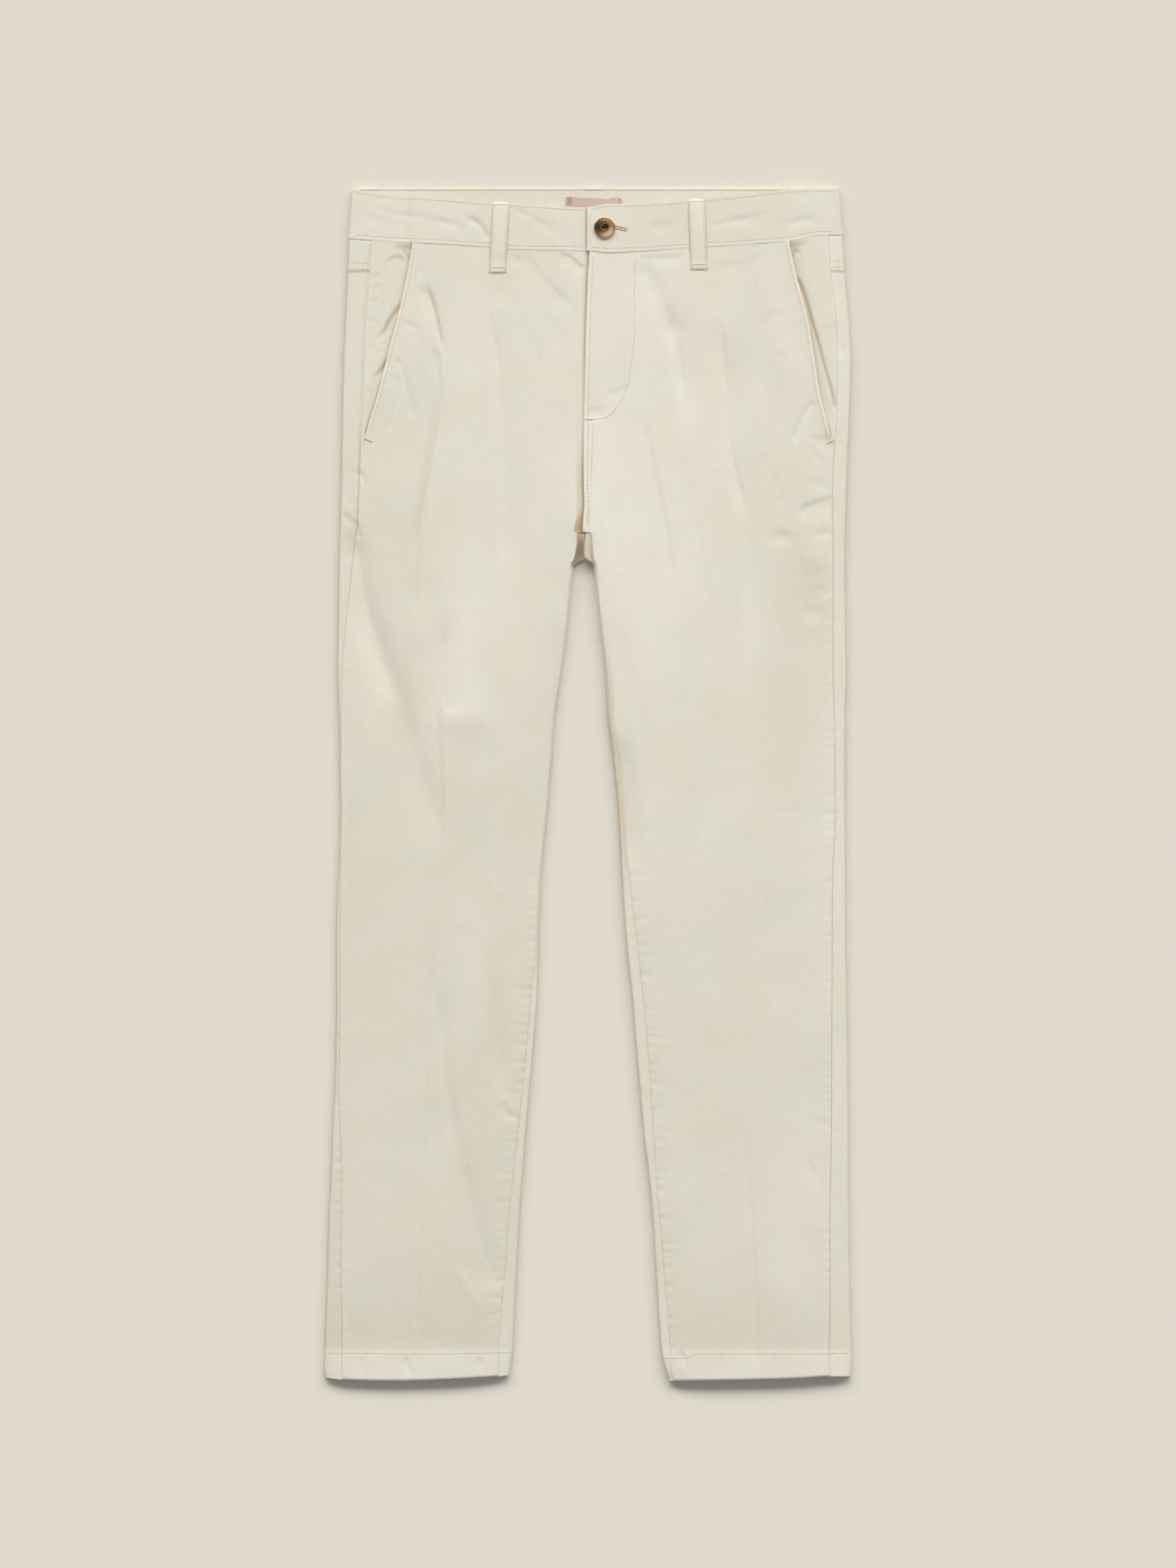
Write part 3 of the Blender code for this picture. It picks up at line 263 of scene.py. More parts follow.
    ("thigh_b_right", -0.3, 15.0, 2.4, 40.0, 60.0, 2.0,
     ((72.2, 293.1), (80.8, 253.8), (87.9, 221.6), (92.2, 196.6), (96.5, 171.6), (101.5, 143.0),
     (106.5, 110.8), (115.1, 78.6))),
    ("thigh_c_right", -0.59, 7.0, 6.0, 30.0, 50.0, 2.0,
     ((17.9, 243.1), (20.7, 207.3), (23.6, 171.6), (26.5, 128.7), (33.6, 78.6), (42.9, 35.8))),
    ("inner_roll_right", -1.5, 4.0, 10.2, 30.0, 40.0, 2.0,
     ((21.4, 42.9), (27.9, 14.3), (32.2, -21.4), (35.8, -53.6), (38.6, -78.6))),
    ("knee_a_right", -0.1, 4.0, 1.6, 8.0, 8.0, 2.0,
     ((133.7, -21.4), (150.2, -23.6), (165.2, -22.9), (178.0, -20.7))),
    ("knee_b_right", -0.12, 4.2, 1.5, 5.0, 4.0, 2.0,
     ((186.6, -27.2), (195.2, -25.0), (200.9, -22.9))),
    ("knee_c_right", -0.13, 8.0, 5.0, 20.0, 20.0, 2.0,
     ((153.7, -100.1), (171.6, -97.2), (193.0, -85.8))),
    ("knee_d_right", -0.13, 4.6, 1.5, 5.0, 5.0, 2.0,
     ((182.3, -273.8), (193.0, -277.4), (202.3, -275.3))),
    ("calf_a_right", -0.27, 7.0, 15.9, 60.0, 60.0, 2.0,
     ((72.2, -164.4), (77.9, -200.2), (83.7, -235.9), (87.9, -271.7), (86.5, -307.4))),
    ("calf_b_right", -0.24, 6.0, 15.9, 40.0, 40.0, 2.0,
     ((163.0, -178.8), (169.5, -214.5), (176.6, -243.1), (183.8, -271.7))),
    ("calf_c_right", -0.16, 4.0, 2.6, 10.0, 12.0, 2.0,
     ((62.2, -294.6), (69.4, -311.0), (76.5, -323.2))),
    ("calf_d_right", -0.33, 6.0, 3.0, 20.0, 14.0, 2.0,
     ((177.1, -293.6), (182.8, -315.2), (190.8, -331.1))),
    ("pressed_right", -0.35, 4.5, 1.4, 50.0, 10.0, 2.0,
     ((130.6, -260.3), (131.6, -293.1), (132.7, -325.3), (134.4, -353.9), (136.2, -386.1), (137.7, -414.7),
     (138.7, -446.9), (139.4, -479.8))),
    ("hem_fold_right", -0.54, 4.7, 1.4, 6.1, 9.7, 2.0,
     ((76.3, -462.4), (78.4, -469.5), (80.6, -479.4))),
    ("hem_fold_a_left", -0.43, 5.4, 1.8, 5.6, 9.5, 2.0,
     ((-150.4, -468.5), (-147.6, -475.5), (-144.8, -485.5))),
    ("hem_fold_b_left", -0.22, 4.8, 2.0, 2.9, 4.8, 2.0,
     ((-185.2, -469.0), (-183.8, -476.2), (-182.3, -484.8))),
    ("hem_fold_c_left", -0.33, 4.3, 2.0, 4.3, 7.3, 2.0,
     ((-87.9, -469.0), (-87.2, -476.2), (-85.8, -483.3))),
    ("hem_fold_d_left", -0.09, 4.8, 2.0, 2.0, 2.0, 2.0,
     ((-161.6, -469.0), (-160.9, -476.2), (-159.4, -484.8))),
    ("band_crease_left", -0.6, 3.5, 1.5, 10.0, 3.0, 2.0,
     ((-102.2, 465.5), (-95.1, 463.3), (-89.4, 459.7), (-84.4, 454.0), (-81.5, 446.2))),
    ("band_soft_a", -0.2, 6.0, 3.0, 8.0, 8.0, 2.0,
     ((-188.0, 466.2), (-173.7, 463.3), (-157.3, 460.5), (-146.6, 459.0))),
    ("band_soft_b", -0.3, 7.6, 3.0, 8.0, 8.0, 2.0,
     ((48.3, 455.7), (60.9, 457.9), (73.5, 457.2))),
    ("band_soft_c", -0.24, 6.0, 3.0, 8.0, 8.0, 2.0,
     ((109.4, 459.0), (125.1, 461.9), (146.6, 460.5))),
    ("band_soft_d", -0.18, 6.0, 3.0, 8.0, 8.0, 2.0,
     ((-140.9, 456.2), (-125.1, 459.0), (-105.1, 458.3))),
    ("band_soft_e", -0.18, 6.0, 3.0, 8.0, 8.0, 2.0,
     ((-55.1, 456.2), (-39.3, 459.0), (-19.3, 456.2))),
    ("band_soft_f", -0.18, 5.0, 3.0, 8.0, 8.0, 2.0,
     ((153.7, 456.2), (171.6, 461.9), (189.5, 460.5))),
    ("tongue_side_left", -0.62, 3.0, 14.0, 40.0, 11.0, 2.0,
     ((-118.0, 150.2), (-119.4, 121.5), (-119.4, 93.0), (-117.3, 71.5), (-113.0, 54.3))),
    ("band_run_a", -0.22, 3.0, 1.6, 10.0, 10.0, 2.0,
     ((-178.8, 473.3), (-160.9, 467.6), (-139.4, 464.8), (-116.5, 460.5), (-96.5, 453.3))),
    ("band_run_b", -0.16, 3.0, 1.6, 8.0, 8.0, 2.0,
     ((-62.2, 471.9), (-49.3, 466.2), (-33.6, 456.2), (-25.0, 449.0))),
    ("band_run_c", -0.22, 3.0, 1.6, 8.0, 10.0, 2.0,
     ((98.0, 456.2), (114.4, 460.5), (133.7, 464.8), (153.7, 469.0))),
    ("band_run_d", -0.16, 2.6, 1.5, 6.0, 8.0, 2.0,
     ((160.9, 456.2), (173.7, 461.9), (189.5, 464.8))),
    ("band_run_e", -0.14, 2.6, 1.5, 6.0, 8.0, 2.0,
     ((-67.9, 456.2), (-65.1, 449.0), (-63.6, 443.3))),
    ("hip_run_right", -0.2, 6.0, 1.6, 8.0, 12.0, 2.0,
     ((-25.0, 407.5), (-14.3, 391.8), (-9.3, 377.5))),
    ("facing_notch_left", -0.2, 1.2, 1.2, 2.0, 1.0, 2.0,
     ((-152.3, 437.6), (-149.4, 435.4), (-146.6, 431.1), (-146.6, 429.0))),
    ("facing_notch_right", -0.2, 1.2, 1.2, 2.0, 1.0, 2.0,
     ((173.0, 438.3), (170.2, 436.9), (167.7, 433.3), (167.7, 431.1))),
    ("facing_run_a", -0.14, 1.5, 1.3, 2.0, 5.0, 2.0,
     ((-179.5, 413.3), (-173.7, 416.8), (-167.3, 418.3))),
    ("facing_run_b", -0.14, 1.5, 1.3, 2.0, 5.0, 2.0,
     ((-180.2, 394.7), (-174.5, 396.8), (-169.5, 395.4))),
    ("facing_run_c", -0.14, 1.5, 1.3, 2.0, 5.0, 2.0,
     ((-180.9, 378.2), (-175.9, 380.4), (-170.9, 379.7))),
    ("facing_run_d", -0.14, 1.5, 1.3, 2.0, 4.0, 2.0,
     ((-181.6, 358.2), (-176.6, 358.9), (-172.3, 356.8))),
    ("facing_run_e", -0.12, 1.4, 1.3, 2.0, 4.0, 2.0,
     ((-182.3, 323.9), (-178.8, 322.5), (-175.2, 319.6))),
)
# Swells and hollows. name | x | y | half width | half length above and below | turn | height
SWELLS = (
    ("thigh_tongue_left", -100.8, 55.8, 18.6, 78.6, 14.3, 0.0, 0.85),
    ("thigh_full_left", -67.9, 48.6, 47.2, 93.0, 75.1, 0.0, 1.5),
    ("thigh_hollow_left", -152.3, 207.3, 11.4, 57.2, 42.9, 0.0, 0.4),
    ("hip_dent_right", 158.0, 201.6, 8.6, 5.0, 5.0, 0.0, -0.5),
    ("hip_dent_b_right", 183.0, 140.9, 9.3, 7.1, 7.1, 0.0, -0.6),
    ("hip_puff_right", 185.9, 185.9, 10.7, 14.3, 14.3, 0.0, 0.5),
    ("thigh_dome_right", 82.2, 114.4, 21.4, 128.7, 93.0, 3.0, 0.9),
    ("knee_dome_right", 139.4, -64.3, 42.9, 85.8, 57.2, 0.0, 0.9),
    ("shin_dome_right", 164.4, -414.7, 32.2, 121.5, 35.8, 0.0, 1.0),
    ("shin_dome_left", -175.2, -414.7, 39.3, 85.8, 50.0, 0.0, 0.3),
    ("calf_dome_left", -96.5, -207.3, 11.4, 64.3, 50.0, -6.0, 0.6),
    ("shin_lit_left", -93.0, -346.8, 12.9, 57.2, 42.9, -14.0, 0.3),
    ("hip_top_left", -168.0, 185.9, 21.4, 71.5, 71.5, 0.0, 0.3),
)
# Broad pale (above 0) and warm dark (below 0) areas: washed tone, painted light on lit areas and painted shade on
# shaded ones. name | x | y | half width | half length above and below | turn | amount
WASH_AND_PAINTED_SHADING_AREAS = (
    ("centre", 10.7, 271.7, 85.8, 150.2, 164.4, 0.0, 0.6),
    ("right_thigh", 50.0, 143.0, 35.8, 100.1, 128.7, 6.0, 0.3),
    ("left_thigh", -93.0, 150.2, 32.2, 107.2, 78.6, 0.0, 0.35),
    ("left_hip_pale", -100.1, 336.1, 28.6, 78.6, 93.0, 4.0, 0.3),
    ("left_fold_gold", -150.2, 71.5, 15.7, 64.3, 64.3, -14.0, -0.16),
    ("right_side_gold", 160.9, 100.1, 25.7, 85.8, 143.0, 0.0, -0.12),
    ("right_hip_pale", 182.3, 321.8, 15.7, 42.9, 42.9, 0.0, 0.2),
    ("left_tongue", -100.8, 71.5, 15.0, 78.6, 24.3, 0.0, 0.45),
    ("left_above_fold", -178.8, 128.7, 17.2, 57.2, 42.9, -14.0, 0.2),
    ("left_under_fold", -125.1, 14.3, 42.9, 42.9, 57.2, -20.0, -0.06),
    ("left_shin_shade", -77.9, -193.0, 10.0, 50.0, 64.3, -8.0, -0.1),
    ("left_calf_lit", -100.1, -150.2, 11.4, 35.8, 42.9, -8.0, 0.15),
    ("left_shin_lit", -121.5, -307.4, 11.4, 42.9, 57.2, -10.0, 0.15),
    ("right_shin_lit", 171.6, -350.3, 21.4, 64.3, 71.5, 0.0, 0.15),
    ("right_inner_pale", 26.5, 185.9, 11.4, 50.0, 78.6, 8.0, 0.2),
    ("left_pocket", -178.8, 375.4, 24.3, 64.3, 64.3, 0.0, 0.05),
    ("right_hip", 182.3, 157.3, 25.7, 42.9, 50.0, 0.0, -0.12),
    ("left_cuff", -146.6, -439.7, 93.0, 42.9, 35.8, 0.0, -0.11),
    ("right_cuff", 132.3, -439.7, 93.0, 42.9, 35.8, 0.0, -0.09),
)
# Puckers along seams. name | leg | seam and side of it | from y | to y | spacing | length | depth | seed
PUCKERS = (
    ("inseam_left", "left", "inseam_front", -457.6, -60.8, 6.6, 11.0, 0.36, 5),
    ("inseam_left_strip", "left", "inseam_back", -468.3, -114.4, 5.2, 5.0, 0.16, 6),
    ("side_left", "left", "side_front", -468.3, 271.7, 9.0, 5.0, 0.12, 7),
    ("side_left_strip", "left", "side_back", -468.3, -178.8, 8.0, 8.0, 0.5, 8),
    ("side_left_strip_top", "left", "side_back", -143.0, 414.7, 10.0, 7.0, 0.16, 9),
    ("inseam_right", "right", "inseam_front", -468.3, -64.3, 7.4, 11.0, 0.34, 10),
    ("inseam_right_strip", "right", "inseam_back", -468.3, -57.2, 6.0, 5.0, 0.12, 11),
    ("side_right", "right", "side_front", -468.3, 243.1, 6.4, 6.5, 0.28, 12),
    ("side_right_strip", "right", "side_back", -468.3, 414.7, 8.0, 6.0, 0.14, 13),
)
# Stitching. name | surface | thread | pitch | width | points
STITCH_LINES = (
    ("side_left", "left", "cream_legs", 3.4, 0.6,
     ((-178.8, 445.4), (-179.8, 429.0), (-181.6, 407.5), (-183.4, 386.1), (-184.8, 357.5), (-185.9, 328.9),
     (-186.6, 300.3), (-187.7, 271.7), (-188.8, 253.8))),
    ("fly_curve", "front_right", "cream_legs", 3.4, 0.62,
     ((38.4, 431.9), (38.0, 400.4), (37.9, 366.8), (34.7, 340.3), (31.5, 324.6), (26.5, 313.2),
     (19.0, 303.6), (11.4, 299.6), (-1.8, 299.4))),
    ("rise_a", "front_right", "cream_legs", 3.1, 0.55,
     ((0.4, 296.0), (-0.5, 264.6), (-1.0, 235.9), (-1.4, 210.2))),
    ("rise_b", "front_right", "cream_legs", 3.1, 0.55,
     ((4.3, 297.4), (3.0, 264.6), (1.4, 235.9), (0.3, 210.2))),
    ("hem_left", "left", "cream_legs", 3.4, 0.6,
     ((-215.2, -465.5), (-207.3, -466.5), (-182.3, -466.2), (-139.4, -466.9), (-96.5, -466.2),
     (-59.3, -465.8))),
    ("hem_right", "right", "cream_legs", 3.4, 0.6,
     ((60.8, -470.3), (79.4, -470.3), (92.2, -466.9), (132.3, -466.6), (175.2, -466.5), (215.2, -466.3))),
    ("yoke_a_left", "left", "cream_legs", 3.4, 0.6,
     ((-195.6, 427.6), (-189.5, 427.6), (-183.8, 427.4), (-177.3, 427.1))),
    ("yoke_b_left", "left", "cream_legs", 3.4, 0.6,
     ((-195.6, 422.4), (-189.5, 422.3), (-183.8, 422.1), (-177.3, 422.0))),
    ("yoke_a_right", "right", "cream_legs", 3.4, 0.6,
     ((199.1, 429.0), (203.8, 429.0), (209.5, 429.0))),
    ("yoke_b_right", "right", "cream_legs", 3.4, 0.6,
     ((199.1, 424.0), (203.8, 424.0), (209.5, 424.0))),
    ("band_end", "band_right", "cream_band", 3.4, 0.6,
     ((2.0, 469.8), (1.7, 456.2), (2.0, 437.6))),
    ("band_corner", "band_right", "cream_band", 3.0, 0.6,
     ((2.1, 437.6), (6.4, 440.1), (10.7, 439.4))),
    ("crotch_cross", "left", "cream_legs", 2.4, 0.55,
     ((-8.6, 207.3), (-3.6, 206.5), (1.8, 205.5))),
)
# Bar tacks. name | centre | direction | length | width | surface | thread
TACKS = (
    # the pocket tacks use the darker thread of the painted pit shade
    ("pocket_left", (-180.2, 282.1), -26.0, 6.6, 1.5, "left", "tan_tacks_and_pit_shade"),
    ("pocket_right", (198.4, 280.3), 25.0, 5.6, 1.5, "right", "tan_tacks_and_pit_shade"),
    ("fly_foot", (0.7, 299.2), 0.0, 6.0, 1.8, "front_right", "cream_legs"),
)
BUTTONHOLE = ((22.6, 456.5), (30.5, 454.5))


# ------------------------------------------------------------------- small mathematics
def smooth(value):
    value = np.clip(value, 0.0, 1.0)
    return value * value * (3.0 - 2.0 * value)


def cubic(xs, ys, at):
    """A monotone cubic through a short table; it stays level beyond the ends."""
    xs, ys, at = (np.asarray(v, float) for v in (xs, ys, at))
    if xs[0] > xs[-1]:
        xs, ys = xs[::-1], ys[::-1]
    run = np.diff(xs)
    slope = np.diff(ys) / run
    tangent = np.empty_like(ys)
    tangent[0], tangent[-1] = slope[0], slope[-1]
    a, b = slope[:-1], slope[1:]
    same = a * b > 0
    tangent[1:-1] = np.where(same, 2 * a * b / np.where(same, a + b, 1.0), 0.0)
    k = np.clip(np.searchsorted(xs, at, side="right") - 1, 0, len(xs) - 2)
    t, h = np.clip((at - xs[k]) / run[k], 0.0, 1.0), run[k]
    return ((1 + 2 * t) * (1 - t) ** 2 * ys[k] + t * (1 - t) ** 2 * h * tangent[k]
            + t * t * (3 - 2 * t) * ys[k + 1] + t * t * (t - 1) * h * tangent[k + 1])


def track(points, step=2.5):
    """Points along a smooth curve through the given ones."""
    p = np.asarray(points, float)
    q = np.vstack([2 * p[0] - p[1], p, 2 * p[-1] - p[-2]])
    out = []
    for k in range(len(p) - 1):
        a, b, c, d = q[k:k + 4]
        n = max(2, int(np.linalg.norm(c - b) / step) + 1)
        t = np.linspace(0.0, 1.0, n, endpoint=False)[:, None]
        out.append(0.5 * (2 * b + (c - a) * t + (2 * a - 5 * b + 4 * c - d) * t ** 2
                          + (3 * b - a - 3 * c + d) * t ** 3))
    out.append(p[-1:])
    return np.vstack(out)


def lengths(path):
    return np.concatenate([[0.0], np.cumsum(np.linalg.norm(np.diff(path, axis=0), axis=1))])


def near(path, x, y):
    """Distance to a path, the side it is on (+ right of a line that runs
    down, above one that runs right) and the length along it."""
    start = lengths(path)
    best = np.full(x.shape, np.inf)
    side, along = np.zeros(x.shape), np.zeros(x.shape)
    for k, ((ax, ay), (bx, by)) in enumerate(zip(path[:-1], np.diff(path, axis=0))):
        square = bx * bx + by * by
        if square < 1e-12:
            continue
        t = np.clip(((x - ax) * bx + (y - ay) * by) / square, 0.0, 1.0)
        dx, dy = x - ax - t * bx, y - ay - t * by
        gap = dx * dx + dy * dy
        closer = gap < best
        best[closer] = gap[closer]
        side[closer] = (bx * dy - by * dx)[closer]
        along[closer] = (start[k] + t * math.sqrt(square))[closer]
    return np.sqrt(best), np.sign(side), along


class Noise:
    """Smooth seeded noise on a wrapped lattice."""

    def __init__(self, seed):
        self.grid = np.random.default_rng(seed).uniform(-1.0, 1.0, (512, 512))

    def at(self, x, y, size):
        u, v = np.asarray(x) / size + 211.3, np.asarray(y) / size + 307.9
        i, j = np.floor(u).astype(int), np.floor(v).astype(int)
        f, g = smooth(u - i), smooth(v - j)
        i, j, k, l = i % 512, j % 512, (i + 1) % 512, (j + 1) % 512
        grid = self.grid
        return ((grid[i, j] * (1 - f) + grid[k, j] * f) * (1 - g)
                + (grid[i, l] * (1 - f) + grid[k, l] * f) * g)


NOISE = Noise(41)


# --------------------------------------------------------------- folds placed by hand
FOLD_TRACKS = [(row, track(row[7])) for row in FOLDS]


def folds(x, y):
    """Height of all the folds and creases at a place."""
    shape = np.shape(x)
    x, y = np.ravel(x), np.ravel(y)
    total = np.zeros(x.shape)
    for (name, height, left, right, fade0, fade1, power, _), path in FOLD_TRACKS:
        reach = max(left, right) * (2.6 if power > 1.5 else 4.0)
        pick = np.flatnonzero((x > path[:, 0].min() - reach) & (x < path[:, 0].max() + reach)
                              & (y > path[:, 1].min() - reach) & (y < path[:, 1].max() + reach))
        if not len(pick):
            continue
        gap, side, along = near(path, x[pick], y[pick])
        width = np.where(side > 0, right, left)
        fade = smooth(along / max(fade0, 0.1)) * smooth((lengths(path)[-1] - along) / max(fade1, 0.1))
        total[pick] += height * fade * np.exp(-(gap / width) ** power)
    for name, cx, cy, wide, above, below, turn, height in SWELLS:
        c, s = math.cos(math.radians(turn)), math.sin(math.radians(turn))
        u, v = ((x - cx) * c + (y - cy) * s) / wide, (y - cy) * c - (x - cx) * s
        v = v / np.where(v > 0, above, below)
        total += height * np.exp(-(u * u + v * v))
    return total.reshape(shape)


def wash_and_painted_shading(x, y):
    """Broad pale and warm dark areas: washed tone, painted light on lit areas and painted shade on shaded ones."""
    total = np.zeros(np.broadcast(x, y).shape)
    for name, cx, cy, wide, above, below, turn, amount in WASH_AND_PAINTED_SHADING_AREAS:
        c, s = math.cos(math.radians(turn)), math.sin(math.radians(turn))
        u, v = ((x - cx) * c + (y - cy) * s) / wide, (y - cy) * c - (x - cx) * s
        v = v / np.where(v > 0, above, below)
        total = total + amount * np.exp(-(u * u + v * v))
    return total


# how strongly shade is painted into each narrow crease; other deep creases get it from their height
DEEP_CREASES = dict(hip_a_left=2.2, hip_b_left=0.8, band_crease_left=1.6, facing_fold_a=0.9, facing_fold_b=1.35,
                    facing_fold_c=1.35, facing_deep_right=1.3, fly_fold_right=0.6,
                    facing_notch_left=0.8, facing_notch_right=0.8,
                    facing_run_a=0.4, facing_run_b=0.4, facing_run_c=0.4, facing_run_d=0.4, facing_run_e=0.35)


def creases(x, y):
    """How deep in a narrow crease a place is, 0 to 1."""
    shape = np.shape(x)
    x, y = np.ravel(x), np.ravel(y)
    total = np.zeros(x.shape)
    for (name, height, left, right, fade0, fade1, _, _), path in FOLD_TRACKS:
        narrow = min(left, right)
        if name not in DEEP_CREASES and (height > -0.3 or narrow > 4.3):
            continue
        pick = np.flatnonzero((x > path[:, 0].min() - 9.0) & (x < path[:, 0].max() + 9.0)
                              & (y > path[:, 1].min() - 9.0) & (y < path[:, 1].max() + 9.0))
        if not len(pick):
            continue
        gap, side, along = near(path, x[pick], y[pick])
        fade = smooth(along / max(fade0, 0.1)) * smooth((lengths(path)[-1] - along) / max(fade1, 0.1))
        total[pick] += DEEP_CREASES.get(name, min(1.0, -height / 2.2)) * fade * np.exp(-(gap / max(0.8, (1.1 if name.startswith("facing") else 0.7) * narrow)) ** 2)
    return np.minimum(total, 2.0).reshape(shape)


def puckers(gap, along, spacing, length, depth, seed, low, high):
    """Short hollows that run off a seam. gap is the distance from the seam."""
    rng = np.random.default_rng(seed)
    steps = np.cumsum(rng.uniform(0.62, 1.5, 400) * spacing) - 600.0 + low
    count = len(steps) - 1
    depths, reaches = rng.uniform(0.25, 1.0, count) ** 1.3, rng.uniform(0.45, 1.2, count) * length
    lean = rng.uniform(-0.25, 0.25, count)
    k = np.clip(np.searchsorted(steps, along) - 1, 0, count - 1)
    place = along + lean[k] * np.abs(gap)
    k = np.clip(np.searchsorted(steps, place) - 1, 0, count - 1)
    u = (place - steps[k]) / (steps[k + 1] - steps[k])
    window = smooth((along - low) / 25.0) * smooth((high - along) / 12.0)
    return -depth * depths[k] * np.sin(math.pi * u) ** 2 * np.exp(-(np.abs(gap) / reaches[k]) ** 2) * window


# ------------------------------------------------------------------------ leg surfaces
RIM_Z, EDGE_WIDE = 1.5, 1.3
CLOTH = 0.85
LAYER = 1.35
FLAT_Z = 1.9


def edge(d):
    """How far the top has risen at a distance inside an outer fold."""
    return 1.0 - (1.0 - np.clip(d / EDGE_WIDE, 0.0, 1.0)) ** 1.15


def back_lift(x, y):
    """The back layers ride up over the belt loops under them."""
    lift = np.zeros(np.broadcast(x, y).shape)
    for loop_x in BACK_LOOP_X:
        lift = np.maximum(lift, (1.0 - smooth((np.abs(x - loop_x) - 7.6) / 8.0)) * smooth((y - 422.5) / 9.0))
    return lift * 1.5


class Leg:
    def __init__(self, name, table, inward, mouth, hem, seed):
        self.name = name
        self.calm = 5.0 if inward > 0 else 5.6
        self.table, self.inward, self.mouth_table, self.hem_table, self.seed = np.array(table), inward, mouth, hem, seed

    def column(self, k, y, split):
        rows = self.table
        if not split:
            return cubic(rows[:, 0], rows[:, k], y)
        above = cubic(rows[:CROTCH_ROW + 1, 0], rows[:CROTCH_ROW + 1, k], y)
        below = cubic(rows[CROTCH_ROW + 1:, 0], rows[CROTCH_ROW + 1:, k], y)
        share = smooth((CROTCH_Y + 0.5 - y) / 1.0)
        return above * (1 - share) + below * share

    def outer(self, y):
        return self.column(1, y, False) + 0.22 * NOISE.at(np.asarray(y) * 0 + self.seed, y, 16.0)

    def side(self, y):
        return self.column(2, y, False)

    def inner(self, y):
        wave = 0.18 * NOISE.at(np.asarray(y) * 0 + self.seed + 900.0, y, 14.0) * smooth((176.0 - np.asarray(y)) / 20.0)
        return self.column(3, y, True) + wave

    def inseam(self, y):
        return self.column(4, y, True)

    def mouth(self, y):
        return cubic(*self.mouth_table, y)

    def hem(self, x):
        return cubic(*self.hem_table, x)

    def start(self, y):
        """Outer edge of the front panel: the mouth, and below it the side seam."""
        share = smooth((y - 280.5) / 6.0)
        return self.side(y) * (1 - share) + self.mouth(y) * share

    def base(self, x, y):
        """The calm top: rolled down at the folds and slightly full between."""
        out, inn = (x - self.outer(y)) * self.inward, (self.inner(y) - x) * self.inward
        open_below = smooth((187.5 - y) / 6.0)
        inside = edge(out) * (1.0 - open_below * (1.0 - edge(inn)))
        rows = np.delete(self.table, slice(12, 18), axis=0)
        wide = (cubic(rows[:, 0], rows[:, 3], y) - x) * self.inward
        full = smooth(out / 46.0) * (1.0 - smooth((242.0 - y) / 84.0) * (1.0 - smooth(wide / 46.0)))
        crotch = np.exp(-((x + 2.5) / 15.0) ** 2) * smooth((y - 140.0) / 40.0) * smooth((250.0 - y) / 45.0)
        low = 1.5 * (1.0 - smooth((out - 1.0) / 20.0)) + 1.2 * open_below * (1.0 - smooth((inn - 1.0) / 20.0)) * smooth((150.0 - y) / 60.0)
        return RIM_Z + (self.calm - RIM_Z - np.minimum(low, 1.5)) * inside + 0.7 * full + 1.4 * crotch

    def layers(self, x, y):
        """The facing and the underlap that lie under the front panel."""
        facing = 1.0 - smooth((x - (self.mouth(y) + self.inward * 24.0)) * self.inward / 26.0)
        facing = facing * smooth((y - POCKET_END_Y + 6.0) / 80.0)
        shield = np.zeros(np.shape(facing))
        if self.inward < 0:
            shield = (1.0 - smooth((x - SHIELD_X + 9.0) / 22.0)) * smooth((y - SHIELD_END_Y + 6.0) / 80.0)
        return LAYER * np.maximum(facing, 0.72 * shield)

    def relief(self, x, y, panel):
        """Everything that isn't calm. panel is front, back or facing."""
        out, inn = (x - self.outer(y)) * self.inward, (self.inner(y) - x) * self.inward
        closed = smooth((212.0 - y) / 12.0)
        window = smooth((out - 0.6) / 6.0) * (1.0 - closed * (1.0 - smooth((inn - 0.4) / 5.0)))
        fine = smooth((out - 0.4) / 2.0) * (1.0 - closed * (1.0 - smooth((inn - 0.4) / 2.0)))
        total = folds(x, y)
        total += 0.10 * NOISE.at(x, y, 27.0) + 0.035 * NOISE.at(x + 77.0, y, 10.0) + 0.014 * NOISE.at(x, y + 99.0, 4.2)
        total = total * window
        # side seam
        gap = (x - self.side(y)) * self.inward
        low = smooth((POCKET_END_Y + 4.0 - y) / 6.0)
        low = low if panel == "front" else np.maximum(low, 0.3)
        deep = 0.05 + 0.06 * smooth((y - 150.0) / 120.0) if self.inward > 0 else 0.13
        seam = -deep * np.exp(-(gap / 0.8) ** 2) + 0.05 * (gap < 0) * (1 - np.exp(-(gap / 1.2) ** 2))
        total += seam * low * fine
        for name, leg, side, y0, y1, spacing, length, depth, seed in PUCKERS:
            if leg != ("left" if self.inward > 0 else "right"):
                continue
            if side.startswith("side"):
                d = gap
            else:
                d = (self.inseam(y) - x) * self.inward
            toward_front = side.endswith("front")
            total += puckers(d, y, spacing, length, depth, seed, y0, y1) * ((d > 0) == toward_front) * fine
        # inner seam, under the crotch
        gap = (self.inseam(y) - x) * self.inward
        total += -0.06 * np.exp(-(gap / 0.8) ** 2) * closed * fine
